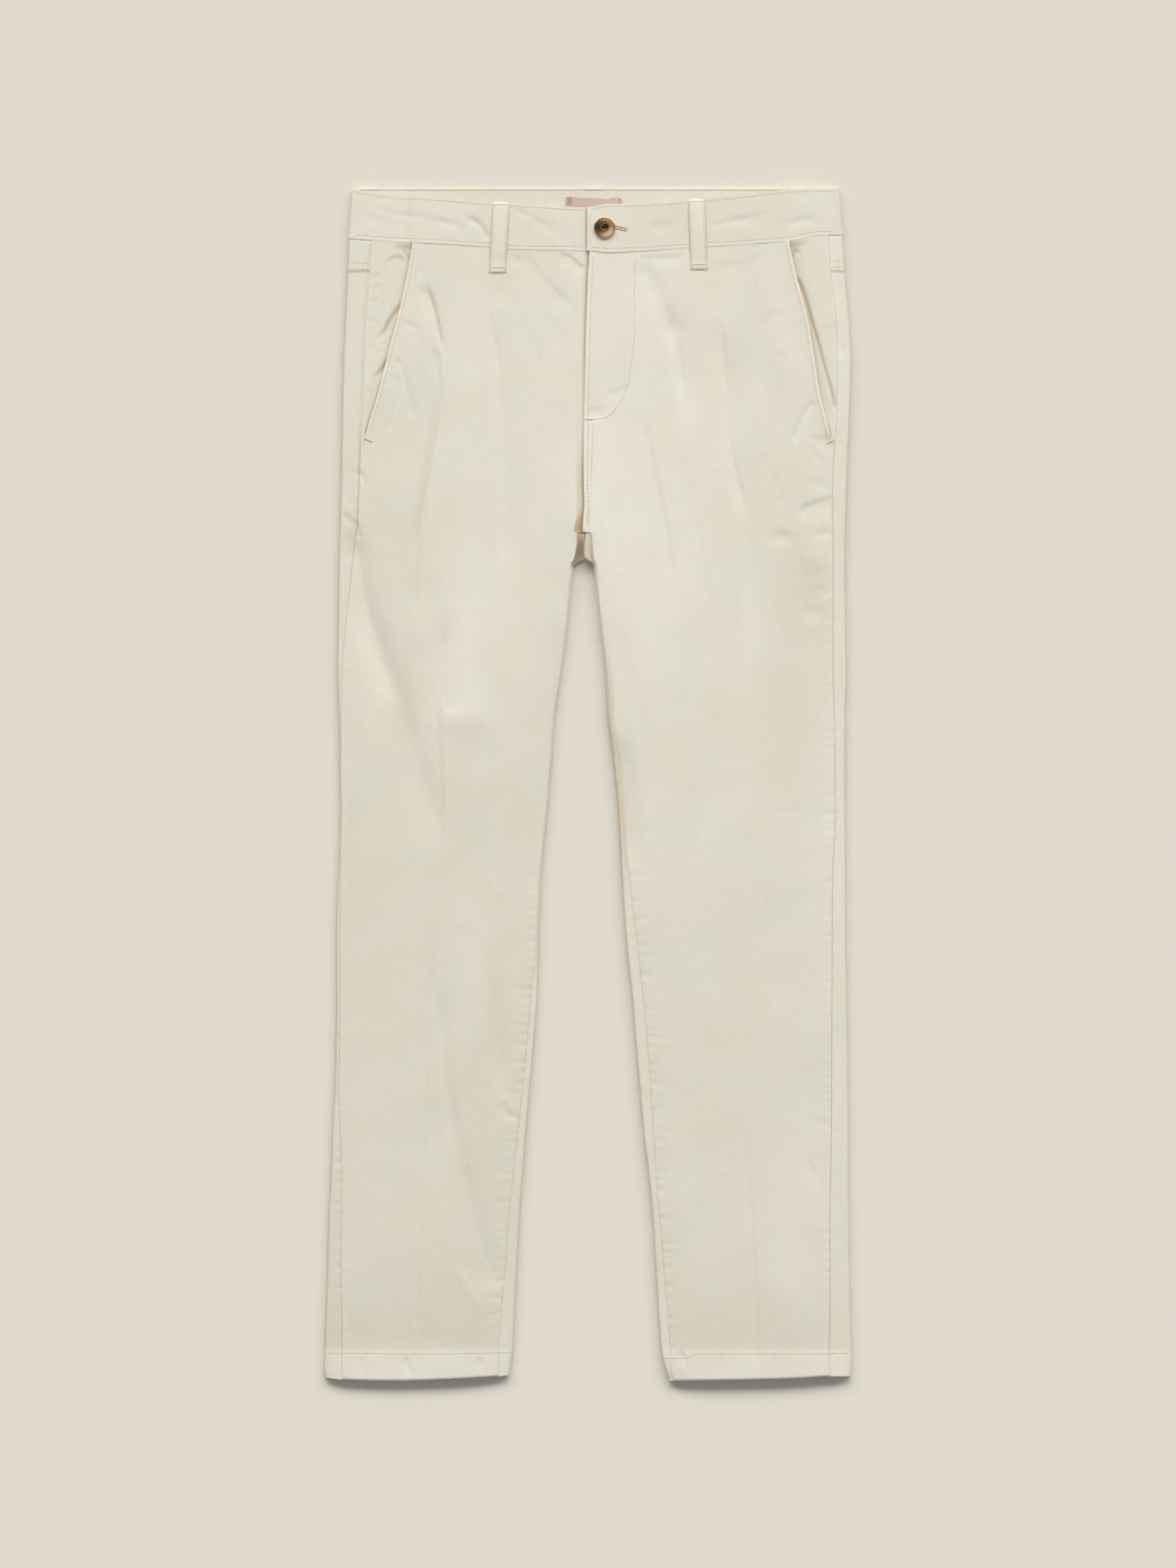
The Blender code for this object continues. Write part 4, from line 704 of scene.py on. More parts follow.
        # hem: doubled, its lower edge standing a little
        turn = np.clip((HEM_LEVEL_Y - y) / 21.4, 0.0, 1.2)
        total += (0.18 * smooth((HEM_LEVEL_Y + 2.6 - y) / 2.4) + 0.95 * turn) * smooth(out / 9.0) * smooth(inn / 7.0)
        total += -0.05 * np.exp(-((y - (HEM_LEVEL_Y + 12.0)) / 9.0) ** 2) * smooth(out / 14.0) * smooth(inn / 12.0)
        if panel == "front":
            mouth = (x - self.mouth(y)) * self.inward
            high = smooth((y - 281.0) / 8.0)
            lift = 1.3 if self.inward < 0 else 0.35
            total += high * (lift * np.exp(-np.maximum(mouth, 0.0) / 5.0) - 0.55 * np.exp(-(mouth / 0.7) ** 2)
                             - 0.02 * np.exp(-((mouth - 2.7) / 0.9) ** 2))
            if self.inward < 0:                     # fly edge and its stitching
                fly = x - self.inner(y)
                rise = smooth((y - 204.0) / 14.0)
                total += rise * 0.10 * (1.0 - smooth((fly - 1.0) / 9.0))
                total += rise * (-0.15 * np.exp(-(fly / 0.5) ** 2) - 0.02 * np.exp(-((fly - 3.6) / 0.9) ** 2))
                total -= rise * 0.22 * np.exp(-((fly - self.rise_wide(y) - 0.5) / 0.6) ** 2) * smooth((290.0 - y) / 30.0)
            else:                                   # it dips beside the fly and the rise seam
                fly = self.inner(y) - x
                rise = smooth((y - 196.0) / 12.0) * (1.0 - smooth((y - 430.0) / 12.0))
                depth = 0.04 + 0.28 * smooth((300.0 - y) / 60.0)
                total -= rise * depth * np.exp(-(np.maximum(fly, 0.0) / (3.2 + 1.8 * smooth((280.0 - y) / 60.0))) ** 2)
        if panel == "facing":
            mouth = (self.mouth(y) - x) * self.inward
            deep = 0.6 if self.inward < 0 else 0.22
            total -= deep * np.exp(-((mouth - 2.2) / 3.4) ** 2) * smooth((y - 290.0) / 20.0)
        return total

    def front(self, x, y):
        z = self.base(x, y) + self.layers(x, y) + self.relief(x, y, "front")
        return FLAT_Z + np.logaddexp(0.0, (z - FLAT_Z) * 3.0) / 3.0

    def rise_wide(self, y):
        """Width of the strip sewn down beside the rise seam and the fly."""
        return 2.0 + 4.4 * smooth((302.0 - y) / 4.0) - 2.3 * smooth((292.0 - y) / 80.0)

    def strip(self, x, y):
        z = self.base(x, y) + self.relief(x, y, "back")
        beyond = (x - self.inseam(y)) * self.inward
        sunk = smooth((beyond + 0.3) / 0.6) * smooth((y - 168.0) / 14.0)
        fall = smooth((205.0 - y) / 20.0)
        low = z - 0.3 - ((z - 2.0) * fall if self.inward > 0 else 0.5 * fall)
        return z + (low - z) * sunk * (z > low)

    def facing(self, x, y):
        return self.base(x, y) + self.relief(x, y, "facing") + 0.12

    def wear_and_painted_shading(self, x, y, panel):
        """Tone painted into the cloth. Above 0 pale: washed seams and edges, and painted light on broad lit areas.
        Below 0 warm and dark: painted shade in creases and seams, on the rolled edges, under the band and in the
        crotch.
        """
        x, y = np.broadcast_arrays(np.asarray(x, float), np.asarray(y, float))
        side, inseam = (x - self.side(y)) * self.inward, (self.inseam(y) - x) * self.inward
        low = smooth((280.0 - y) / 6.0)
        deep = 0.08 + 0.34 * smooth((y - 150.0) / 100.0) if self.inward > 0 else 0.30
        # pale beside the side seam; painted shade in the seam line itself
        total = low * (0.10 * np.exp(-((side - 2.4) / 1.4) ** 2) - deep * np.exp(-(side / 0.7) ** 2))
        under = smooth((190.0 - y) / 20.0)
        # below the crotch: pale on the strip past the inner seam, painted shade at the seam line
        total = total + under * (0.12 * (inseam < 0.0) - 0.08 * np.exp(-((inseam - 0.4) / 0.7) ** 2))
        turn = HEM_LEVEL_Y - y
        total = total + 0.30 * smooth((turn + 0.6) / 1.2) - 0.04 * np.exp(-((turn + 11.0) / 9.0) ** 2)
        total = total + 0.20 * np.exp(-((turn + 2.4) / 1.5) ** 2) + wash_and_painted_shading(x, y)
        out, inn = (x - self.outer(y)) * self.inward, (self.inner(y) - x) * self.inward
        # painted shade on the rolled outer fold, and on the inner fold below the crotch
        total = total - 0.6 * np.exp(-(out / 0.9) ** 2) - 0.6 * np.exp(-(inn / 0.9) ** 2) * smooth((184.0 - y) / 3.0)
        if self.inward < 0:
            # painted shade on the right leg's inner strip where it rolls away
            total = total - 0.55 * (1.0 - smooth((inn - 4.5) / 3.0)) * smooth((150.0 - y) / 70.0) * smooth((y + 120.0) / 90.0)
        if self.inward > 0:
            # painted shade on the left leg's side strip towards the hem
            total = total - 0.06 * (1.0 - smooth((side + 0.4) / 0.8)) * smooth((-100.0 - y) / 110.0)
        if panel == "front":
            # painted shade in the creases and along the waist seam under the band
            total = total - 0.3 * creases(x, y) - 0.4 * np.exp(-((cubic(*WAIST_SEAM, x) - y) / 1.0) ** 2)
            mouth, high = (x - self.mouth(y)) * self.inward, smooth((y - 281.0) / 6.0)
            # pale ridge along the pocket mouth, with painted shade at its very edge
            total = total + high * (0.5 * (1.0 - smooth((mouth - 2.0) / 1.4)) - 0.5 * np.exp(-(mouth / 0.4) ** 2))
            rise = smooth((y - 208.0) / 4.0)
            if self.inward < 0:
                # right front: pale strip beside the fly, painted shade at the fly edge, beside the rise seam's
                # stitching and at the crotch
                fly = x - self.inner(y)
                wide = self.rise_wide(y)
                total = total + rise * (0.62 * (1.0 - smooth((fly - wide) / 1.2)) - 1.3 * np.exp(-(fly / 0.9) ** 2))
                total = total - rise * 1.3 * np.exp(-((fly - wide - 0.6) / 0.8) ** 2) * smooth((294.0 - y) / 60.0)
                total = total - 1.3 * np.exp(-((inseam - 0.6) / 1.1) ** 2) * smooth((y - 150.0) / 40.0) * smooth((212.0 - y) / 6.0)
            else:
                # left front: painted shade beside the fly's edge and down the rise seam, where the right front laps
                # over it
                fly = RIGHT.inner(y) - x
                wide = 1.6 + 4.2 * smooth((330.0 - y) / 40.0)
                low = smooth((306.0 - y) / 70.0)
                total = total - smooth((y - 196.0) / 6.0) * ((0.26 + 0.70 * low) * (1.0 - smooth((fly - wide) / 1.2)) + (0.9 + 0.5 * low) * np.exp(-(fly / 1.6) ** 2))
                total = total - 0.9 * (1.0 - smooth((fly - 7.5 * smooth((234.0 - y) / 30.0)) / 1.5)) * smooth((234.0 - y) / 24.0) * smooth((y - 196.0) / 8.0)
                total = np.where(fly < 12.0, np.maximum(total, -1.7), total)
        elif panel == "facing":
            mouth = (self.mouth(y) - x) * self.inward
            # painted shade in the facing's creases, under the mouth edge and under the band; pale by the side seam
            total = total - 0.7 * creases(x, y) - 0.50 * np.exp(-(np.maximum(mouth, 0.0) / 2.0) ** 2)
            total = total - 0.3 * np.exp(-((cubic(*WAIST_SEAM, x) - y) / 1.0) ** 2)
            total = total + 0.35 * np.exp(-((side - 1.2) / 1.4) ** 2) - 0.14 * np.exp(-(np.maximum(mouth, 0.0) / 8.0) ** 2)
        else:
            # painted shade on the crotch patch and at the crossing seam; paler beside the side seam near the top
            patch = smooth((-inseam + 0.3) / 0.6) * smooth((y - 172.0) / 12.0)
            total = total - patch * (1.25 + 0.35 * smooth((-3.6 - x) / 1.6) if self.inward > 0 else 0.95 + 0.7 * smooth((x - 1.0) / 1.6))
            total = total - patch * 1.2 * np.exp(-((y - 205.6) / 0.7) ** 2)
            total = total + 0.30 * smooth((y - 290.0) / 20.0) * np.exp(-((side + 1.0) / 1.6) ** 2)
            # painted light: the right leg's back strip a little paler
            total = total + (0.12 if self.inward < 0 else 0.0) * (side < 0)
        return total

    def top(self, x, y):
        """Whichever of the outside pieces is on top at a place."""
        out = (x - self.side(y)) * self.inward
        inn = (self.inseam(y) - x) * self.inward
        mouth = (x - self.mouth(y)) * self.inward
        pocket = (y > POCKET_END_Y) & (mouth < 0)
        on_strip = (out < 0) | ((inn < 0) & (y < CROTCH_Y))
        return np.where(on_strip, self.strip(x, y), np.where(pocket, self.facing(x, y), self.front(x, y)))


LEFT = Leg("left", LEFT_LEG, +1, MOUTH_LEFT, HEM_LEFT, 31.0)
RIGHT = Leg("right", RIGHT_LEG, -1, MOUTH_RIGHT, HEM_RIGHT, 57.0)


def settle(level, x, leg=None, extra=0.0):
    """Rows above the level row spread to the waist seam, those in the hem to its edge."""
    y = np.where(level > PANEL_LEVEL_Y,
                 PANEL_LEVEL_Y + (level - PANEL_LEVEL_Y) * (cubic(*WAIST_SEAM, x) - 0.1 - PANEL_LEVEL_Y)
                 / (WAIST_Y - PANEL_LEVEL_Y), level)
    if leg is not None:
        y = np.where(level < HEM_LEVEL_Y,
                     HEM_LEVEL_Y + (level - HEM_LEVEL_Y) * (leg.hem(x) - extra - HEM_LEVEL_Y) / (HEM_Y - HEM_LEVEL_Y), y)
    return y


# -------------------------------------------------------------------------- mesh tools
def build(name, points, blocks, uv, finish, sharp=48.0, wear_and_painted_shading=None):
    """A mesh from points in mm and blocks of faces with equal corner counts."""
    volume = 0.0
    for block in blocks:
        a = points[block[:, 0]]
        for c in range(1, block.shape[1] - 1):
            volume += float((a * np.cross(points[block[:, c]], points[block[:, c + 1]])).sum())
    if volume < 0:
        blocks = [block[:, ::-1] for block in blocks]
    used, flat = np.unique(np.concatenate([b.ravel() for b in blocks]), return_inverse=True)
    flat = flat.ravel()
    sizes = np.concatenate([np.full(len(b), b.shape[1]) for b in blocks])
    mesh = bpy.data.meshes.new(name)
    mesh.vertices.add(len(used))
    mesh.vertices.foreach_set("co", (points[used] * MM).astype(np.float32).ravel())
    mesh.loops.add(len(flat))
    mesh.loops.foreach_set("vertex_index", flat.astype(np.int32))
    mesh.polygons.add(len(sizes))
    mesh.polygons.foreach_set("loop_start", np.concatenate([[0], np.cumsum(sizes)[:-1]]).astype(np.int32))
    mesh.update(calc_edges=True)
    mesh.validate()
    tone = mesh.attributes.new("wear_and_painted_shading", "FLOAT", "POINT")
    if wear_and_painted_shading is not None:
        tone.data.foreach_set("value", np.asarray(wear_and_painted_shading, float).ravel()[used].astype(np.float32))
    layer = mesh.uv_layers.new(name="UVMap")
    layer.data.foreach_set("uv", (uv[used][flat] * MM).astype(np.float32).ravel())
    mesh.shade_smooth()
    mesh.set_sharp_from_angle(angle=math.radians(sharp))
    mesh.materials.append(finish)
    thing = bpy.data.objects.new(name, mesh)
    bpy.context.scene.collection.objects.link(thing)
    return thing


def normals(grid):
    du = np.gradient(grid, axis=0)
    dv = np.gradient(grid, axis=1)
    n = np.cross(du, dv)
    size = np.linalg.norm(n, axis=2, keepdims=True)
    return n / np.maximum(size, 1e-9)


def cells(rows, cols, first, use=None):
    """Corner numbers of the cells of a grid whose points start at first."""
    i, j = np.meshgrid(np.arange(rows - 1), np.arange(cols - 1), indexing="ij")
    a = first + i * cols + j
    quads = np.stack([a, a + cols, a + cols + 1, a + 1], axis=-1)
    return quads[use] if use is not None else quads.reshape(-1, 4)


def wall(name, outer, inner, uv, finish, use=None, sharp=48.0, wear_and_painted_shading=None):
    """A closed wall between two grids of the same size."""
    n, m = outer.shape[:2]
    half = n * m
    if use is None:
        use = np.ones((n - 1, m - 1), bool)
    blocks = [cells(n, m, 0, use), cells(n, m, half, use)[:, ::-1]]
    grid = np.arange(half).reshape(n, m)
    padded = np.zeros((n + 1, m + 1), bool)
    padded[1:-1, 1:-1] = use
    # edges along a row, between the cell above and the one below it
    before, after = padded[:-1, 1:-1], padded[1:, 1:-1]
    a, b = grid[:, :-1], grid[:, 1:]
    for pick, (p, q) in ((after & ~before, (a, b)), (before & ~after, (b, a))):
        p, q = p[pick], q[pick]
        blocks.append(np.stack([p, q, q + half, p + half], axis=-1))
    before, after = padded[1:-1, :-1], padded[1:-1, 1:]
    a, b = grid[:-1, :], grid[1:, :]
    for pick, (p, q) in ((after & ~before, (b, a)), (before & ~after, (a, b))):
        p, q = p[pick], q[pick]
        blocks.append(np.stack([p, q, q + half, p + half], axis=-1))
    points = np.concatenate([outer.reshape(-1, 3), inner.reshape(-1, 3)])
    both = np.concatenate([uv.reshape(-1, 2), uv.reshape(-1, 2)])
    tone = None if wear_and_painted_shading is None else np.concatenate([wear_and_painted_shading.ravel(), wear_and_painted_shading.ravel()])
    return build(name, points, [b for b in blocks if len(b)], both, finish, sharp, tone)


def wall_half(name, outer, inner, uv, finish, sharp=48.0, wear_and_painted_shading=None):
    """A closed wall whose inside has every second row and column only."""
    n, m = outer.shape[:2]
    coarse = inner[::2, ::2]
    rows, cols = coarse.shape[:2]
    first = n * m
    fine, back = np.arange(first).reshape(n, m), first + np.arange(rows * cols).reshape(rows, cols)
    blocks = [cells(n, m, 0), cells(rows, cols, first)[:, ::-1]]
    for line, far, turn in ((fine[0], back[0], False), (fine[-1], back[-1], True),
                            (fine[:, 0], back[:, 0], True), (fine[:, -1], back[:, -1], False)):
        rim = np.stack([line[:-2:2], line[1:-1:2], line[2::2], far[1:], far[:-1]], axis=-1)
        blocks.append(rim[:, ::-1] if turn else rim)
    points = np.concatenate([outer.reshape(-1, 3), coarse.reshape(-1, 3)])
    both = np.concatenate([uv.reshape(-1, 2), uv[::2, ::2].reshape(-1, 2)])
    tone = None if wear_and_painted_shading is None else np.concatenate([wear_and_painted_shading.ravel(), wear_and_painted_shading[::2, ::2].ravel()])
    return build(name, points, blocks, both, finish, sharp, tone)


def spread(total, ends, count):
    """Distances from 0 to total: the given ones at both ends, even between.
    total may be an array, and the result then has a row for each."""
    total = np.asarray(total, float)[..., None]
    ends = np.asarray(ends, float)
    inner = np.linspace(0.0, 1.0, count - 2 * len(ends) + 2)[1:-1]
    middle = ends[-1] + (total - 2 * ends[-1]) * inner
    return np.concatenate([np.broadcast_to(ends, total.shape[:-1] + ends.shape), middle, total - ends[::-1]], axis=-1)


# ------------------------------------------------------------------------------ finishes
def node(tree, kind, **settings):
    made = tree.nodes.new(kind)
    for key, value in settings.items():
        if key.startswith("in_"):
            made.inputs[int(key[3:]) if key[3:].isdigit() else key[3:].replace("_", " ")].default_value = value
        else:
            setattr(made, key, value)
    return made


def maths(tree, operation, a, b=None, c=None):
    made = tree.nodes.new("ShaderNodeMath")
    made.operation = operation
    for k, value in enumerate((a, b, c)):
        if value is None:
            continue
        if isinstance(value, (int, float)):
            made.inputs[k].default_value = value
        else:
            tree.links.new(value, made.inputs[k])
    return made.outputs[0]


def shader(name, rough, metal=0.0, sheen=0.0, tint=(1.0, 0.97, 0.92), specular=0.35):
    made = bpy.data.materials.new(name)
    made.use_nodes = True
    tree = made.node_tree
    main = tree.nodes["Principled BSDF"]
    main.inputs["Roughness"].default_value = rough
    main.inputs["Metallic"].default_value = metal
    main.inputs["Specular IOR Level"].default_value = specular
    main.inputs["Sheen Weight"].default_value = sheen
    main.inputs["Sheen Roughness"].default_value = 0.45
    main.inputs["Sheen Tint"].default_value = (*tint, 1.0)
    return made, tree, main


def two_tones(tree, factor, dark, light):
    mix = tree.nodes.new("ShaderNodeMix")
    mix.data_type = "RGBA"
    mix.inputs["A"].default_value = (*dark, 1.0)
    mix.inputs["B"].default_value = (*light, 1.0)
    tree.links.new(factor, mix.inputs["Factor"])
    return mix.outputs["Result"]


def paint_wear_and_shading(tree, colour):
    """Paints the cloth pale on the raised seams, as washed wear, and warm and dark down in the creases, seams and
    rolled edges, as painted shade; broad areas add painted light and painted shade.
    The meshes carry how much as an attribute: above 0 pale, below 0 dark."""
    amount = node(tree, "ShaderNodeAttribute", attribute_type="GEOMETRY", attribute_name="wear_and_painted_shading").outputs["Fac"]
    # a pale cool tint for washed seams and painted light, a warm dark tint for painted shade
    for low, high, tint in ((0.0, 1.0, (1.08, 1.09, 1.13)), (0.0, -2.0, (0.48, 0.27, 0.04))):
        share = node(tree, "ShaderNodeMapRange")
        share.inputs["From Min"].default_value = low
        share.inputs["From Max"].default_value = high
        tree.links.new(amount, share.inputs["Value"])
        mix = tree.nodes.new("ShaderNodeMix")
        mix.data_type, mix.blend_type = "RGBA", "MULTIPLY"
        mix.inputs["B"].default_value = (*tint, 1.0)
        tree.links.new(share.outputs[0], mix.inputs["Factor"])
        tree.links.new(colour, mix.inputs["A"])
        colour = mix.outputs["Result"]
    return colour


def twill_finish(name, colour, pitch=0.62, lean=63.0, rough=0.86, sheen=0.12, spread_of=0.025, depth=0.05, warm=0.0):
    """Fine cotton twill: ribs that climb across the cloth, broken into short
    floats, with slubs, and a slow change of tone. UVs are in metres of cloth."""
    made, tree, main = shader(name, rough, sheen=sheen)
    where = tree.nodes.new("ShaderNodeTexCoord").outputs["UV"]
    turned = node(tree, "ShaderNodeMapping")
    turned.inputs["Rotation"].default_value = (0.0, 0.0, math.radians(lean))
    tree.links.new(where, turned.inputs["Vector"])
    rib = node(tree, "ShaderNodeTexWave", wave_type="BANDS", bands_direction="X", wave_profile="SIN")
    rib.inputs["Scale"].default_value = 2 * math.pi / 20.0 / (pitch * MM)
    rib.inputs["Distortion"].default_value = 0.7
    rib.inputs["Detail"].default_value = 1.0
    rib.inputs["Detail Scale"].default_value = 0.4
    tree.links.new(turned.outputs[0], rib.inputs["Vector"])
    pick = node(tree, "ShaderNodeTexWave", wave_type="BANDS", bands_direction="Y", wave_profile="SIN")
    pick.inputs["Scale"].default_value = 2 * math.pi / 20.0 / (0.42 * MM)
    pick.inputs["Distortion"].default_value = 0.5
    tree.links.new(where, pick.inputs["Vector"])
    slub = node(tree, "ShaderNodeTexNoise")
    slub.inputs["Scale"].default_value = 420.0
    slub.inputs["Detail"].default_value = 3.0
    slub.inputs["Roughness"].default_value = 0.6
    stretch = node(tree, "ShaderNodeMapping")
    stretch.inputs["Scale"].default_value = (1.0, 0.45, 1.0)
    tree.links.new(where, stretch.inputs["Vector"])
    tree.links.new(stretch.outputs[0], slub.inputs["Vector"])
    cloud = node(tree, "ShaderNodeTexNoise")
    cloud.inputs["Scale"].default_value = 26.0
    cloud.inputs["Detail"].default_value = 4.0
    cloud.inputs["Roughness"].default_value = 0.55
    tree.links.new(where, cloud.inputs["Vector"])
    weave = maths(tree, "MULTIPLY_ADD", rib.outputs["Fac"], 0.65, maths(tree, "MULTIPLY", pick.outputs["Fac"], 0.35))
    height = maths(tree, "MULTIPLY_ADD", slub.outputs["Fac"], 0.9, weave)
    bump = node(tree, "ShaderNodeBump")
    bump.inputs["Strength"].default_value = 0.55
    bump.inputs["Distance"].default_value = depth * MM
    tree.links.new(height, bump.inputs["Height"])
    tree.links.new(bump.outputs[0], main.inputs["Normal"])
    broad = node(tree, "ShaderNodeTexNoise")
    broad.inputs["Scale"].default_value = 7.0
    broad.inputs["Detail"].default_value = 3.0
    tree.links.new(where, broad.inputs["Vector"])
    tone = maths(tree, "MULTIPLY_ADD", slub.outputs["Fac"], 0.85, maths(tree, "MULTIPLY", cloud.outputs["Fac"], 0.58))
    tone = maths(tree, "MULTIPLY_ADD", broad.outputs["Fac"], 0.95, tone)
    tone = maths(tree, "MULTIPLY_ADD", weave, 0.18, maths(tree, "SUBTRACT", tone, 0.735))
    dark = tuple(c * (1 - spread_of * k) for c, k in zip(colour, (2.6, 3.0, 5.0)))
    light = tuple(min(1.0, c * (1 + spread_of * k)) for c, k in zip(colour, (2.2, 2.6, 4.4)))
    drift = node(tree, "ShaderNodeTexNoise")
    drift.inputs["Scale"].default_value = 19.0
    drift.inputs["Detail"].default_value = 3.0
    moved = node(tree, "ShaderNodeMapping")
    moved.inputs["Location"].default_value = (3.1, 1.7, 0.0)
    tree.links.new(where, moved.inputs["Vector"])
    tree.links.new(moved.outputs[0], drift.inputs["Vector"])
    spread_out = node(tree, "ShaderNodeMapRange")
    spread_out.inputs["From Min"].default_value = 0.3
    spread_out.inputs["From Max"].default_value = 0.7
    tree.links.new(drift.outputs["Fac"], spread_out.inputs["Value"])
    hue = two_tones(tree, spread_out.outputs[0], (0.998, 0.981, 0.969), (0.972, 0.989, 0.990))
    blend = tree.nodes.new("ShaderNodeMix")
    blend.data_type, blend.blend_type = "RGBA", "MULTIPLY"
    blend.inputs["Factor"].default_value = 1.0
    tree.links.new(paint_wear_and_shading(tree, two_tones(tree, tone, dark, light)), blend.inputs["A"])
    tree.links.new(hue, blend.inputs["B"])
    tree.links.new(blend.outputs["Result"], main.inputs["Base Color"])
    return made


def satin_finish(name, colour):
    made, tree, main = shader(name, 0.4, sheen=0.25, specular=0.5)
    main.inputs["Anisotropic"].default_value = 0.5
    where = tree.nodes.new("ShaderNodeTexCoord").outputs["UV"]
    thread = node(tree, "ShaderNodeTexWave", wave_type="BANDS", bands_direction="X", wave_profile="SIN")
    thread.inputs["Scale"].default_value = 2 * math.pi / 20.0 / (0.28 * MM)
    thread.inputs["Distortion"].default_value = 0.4
    tree.links.new(where, thread.inputs["Vector"])
    cloud = node(tree, "ShaderNodeTexNoise")
    cloud.inputs["Scale"].default_value = 160.0
    cloud.inputs["Detail"].default_value = 3.0
    tree.links.new(where, cloud.inputs["Vector"])
    bump = node(tree, "ShaderNodeBump")
    bump.inputs["Strength"].default_value = 0.4
    bump.inputs["Distance"].default_value = 0.00003
    tree.links.new(thread.outputs["Fac"], bump.inputs["Height"])
    tree.links.new(bump.outputs[0], main.inputs["Normal"])
    dark, light = tuple(c * 0.93 for c in colour), tuple(min(1.0, c * 1.06) for c in colour)
    tree.links.new(two_tones(tree, cloud.outputs["Fac"], dark, light), main.inputs["Base Color"])
    return made


def metal_finish(name, colour):
    made, tree, main = shader(name, 0.24, metal=1.0)
    where = tree.nodes.new("ShaderNodeTexCoord").outputs["UV"]
    scuff = node(tree, "ShaderNodeTexNoise")
    scuff.inputs["Scale"].default_value = 700.0
    scuff.inputs["Detail"].default_value = 4.0
    tree.links.new(where, scuff.inputs["Vector"])
    rough = node(tree, "ShaderNodeMapRange")
    rough.inputs["To Min"].default_value = 0.14
    rough.inputs["To Max"].default_value = 0.36
    tree.links.new(scuff.outputs["Fac"], rough.inputs["Value"])
    tree.links.new(rough.outputs[0], main.inputs["Roughness"])
    bump = node(tree, "ShaderNodeBump")
    bump.inputs["Strength"].default_value = 0.25
    bump.inputs["Distance"].default_value = 0.00002
    tree.links.new(scuff.outputs["Fac"], bump.inputs["Height"])
    tree.links.new(bump.outputs[0], main.inputs["Normal"])
    dark, light = tuple(c * 0.86 for c in colour), tuple(min(1.0, c * 1.1) for c in colour)
    tree.links.new(two_tones(tree, scuff.outputs["Fac"], dark, light), main.inputs["Base Color"])
    return made


def thread_finish(name, colour):
    made, tree, main = shader(name, 0.62, sheen=0.2, specular=0.4)
    where = tree.nodes.new("ShaderNodeTexCoord").outputs["UV"]
    ply = node(tree, "ShaderNodeTexWave", wave_type="BANDS", bands_direction="DIAGONAL", wave_profile="SIN")
    ply.inputs["Scale"].default_value = 2 * math.pi / 10.0 / (0.45 * MM)
    tree.links.new(where, ply.inputs["Vector"])
    bump = node(tree, "ShaderNodeBump")
    bump.inputs["Strength"].default_value = 0.5
    bump.inputs["Distance"].default_value = 0.00006
    tree.links.new(ply.outputs["Fac"], bump.inputs["Height"])
    tree.links.new(bump.outputs[0], main.inputs["Normal"])
    fibre = node(tree, "ShaderNodeTexNoise")
    fibre.inputs["Scale"].default_value = 300.0
    fibre.inputs["Detail"].default_value = 2.0
    tree.links.new(where, fibre.inputs["Vector"])
    dark, light = tuple(c * 0.86 for c in colour), tuple(min(1.0, c * 1.1) for c in colour)
    tree.links.new(two_tones(tree, fibre.outputs["Fac"], dark, light), main.inputs["Base Color"])
    return made


FINISH = dict(
    twill_left=twill_finish("twill_left", (0.724, 0.680, 0.568)),
    twill_right=twill_finish("twill_right", (0.738, 0.694, 0.585)),
    band=twill_finish("twill_band", (0.722, 0.676, 0.567)),
    inside=twill_finish("twill_inside", (0.729, 0.684, 0.572)),
    loop=twill_finish("twill_loop", (0.722, 0.676, 0.562)),
    satin=satin_finish("satin", (0.560, 0.425, 0.378)),
    metal=metal_finish("bronze_metal", (0.700, 0.440, 0.255)),
    dark_metal=metal_finish("bronze_dark_centre", (0.120, 0.070, 0.040)),
    cream=thread_finish("thread_cream", (0.795, 0.745, 0.640)),
    tan=thread_finish("thread_tan", (0.540, 0.385, 0.215)),
    # colour of the painted shade in the stitch holes, and of the pocket tacks' thread
    pit=thread_finish("pit_shade_and_tack_thread", (0.715, 0.560, 0.370)),
    straw=thread_finish("thread_straw", (0.620, 0.480, 0.310)),
    brown=thread_finish("thread_brown", (0.270, 0.160, 0.100)),
)

PIECES = []


def place(piece, slot, *nodes):
    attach(piece, "root")
    if nodes:
        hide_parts(*nodes)
    PIECES.append(piece)
    return piece


# ---------------------------------------------------------------------------- front panels
NEAR_EDGE = (0.0, 0.22, 0.55, 1.05, 1.8, 2.9, 4.4, 6.2)


def row_levels(step):
    """Levels of the rows, closer at the crotch and at the hem's stitching."""
    stops = [(WAIST_Y, None), (209.0, step), (203.6, 0.6), (-462.0, step), (-471.5, 0.9), (HEM_Y + 2.4, step),
             (HEM_Y, 0.6)]
    out = [WAIST_Y]
    for (high, _), (low, size) in zip(stops, stops[1:]):
        count = max(1, int(round((high - low) / size)))
        out += list(high - (high - low) * np.arange(1, count + 1) / count)
    if len(out) % 2 == 0:
        out.insert(1, 0.5 * (out[0] + out[1]))
    return np.array(out)


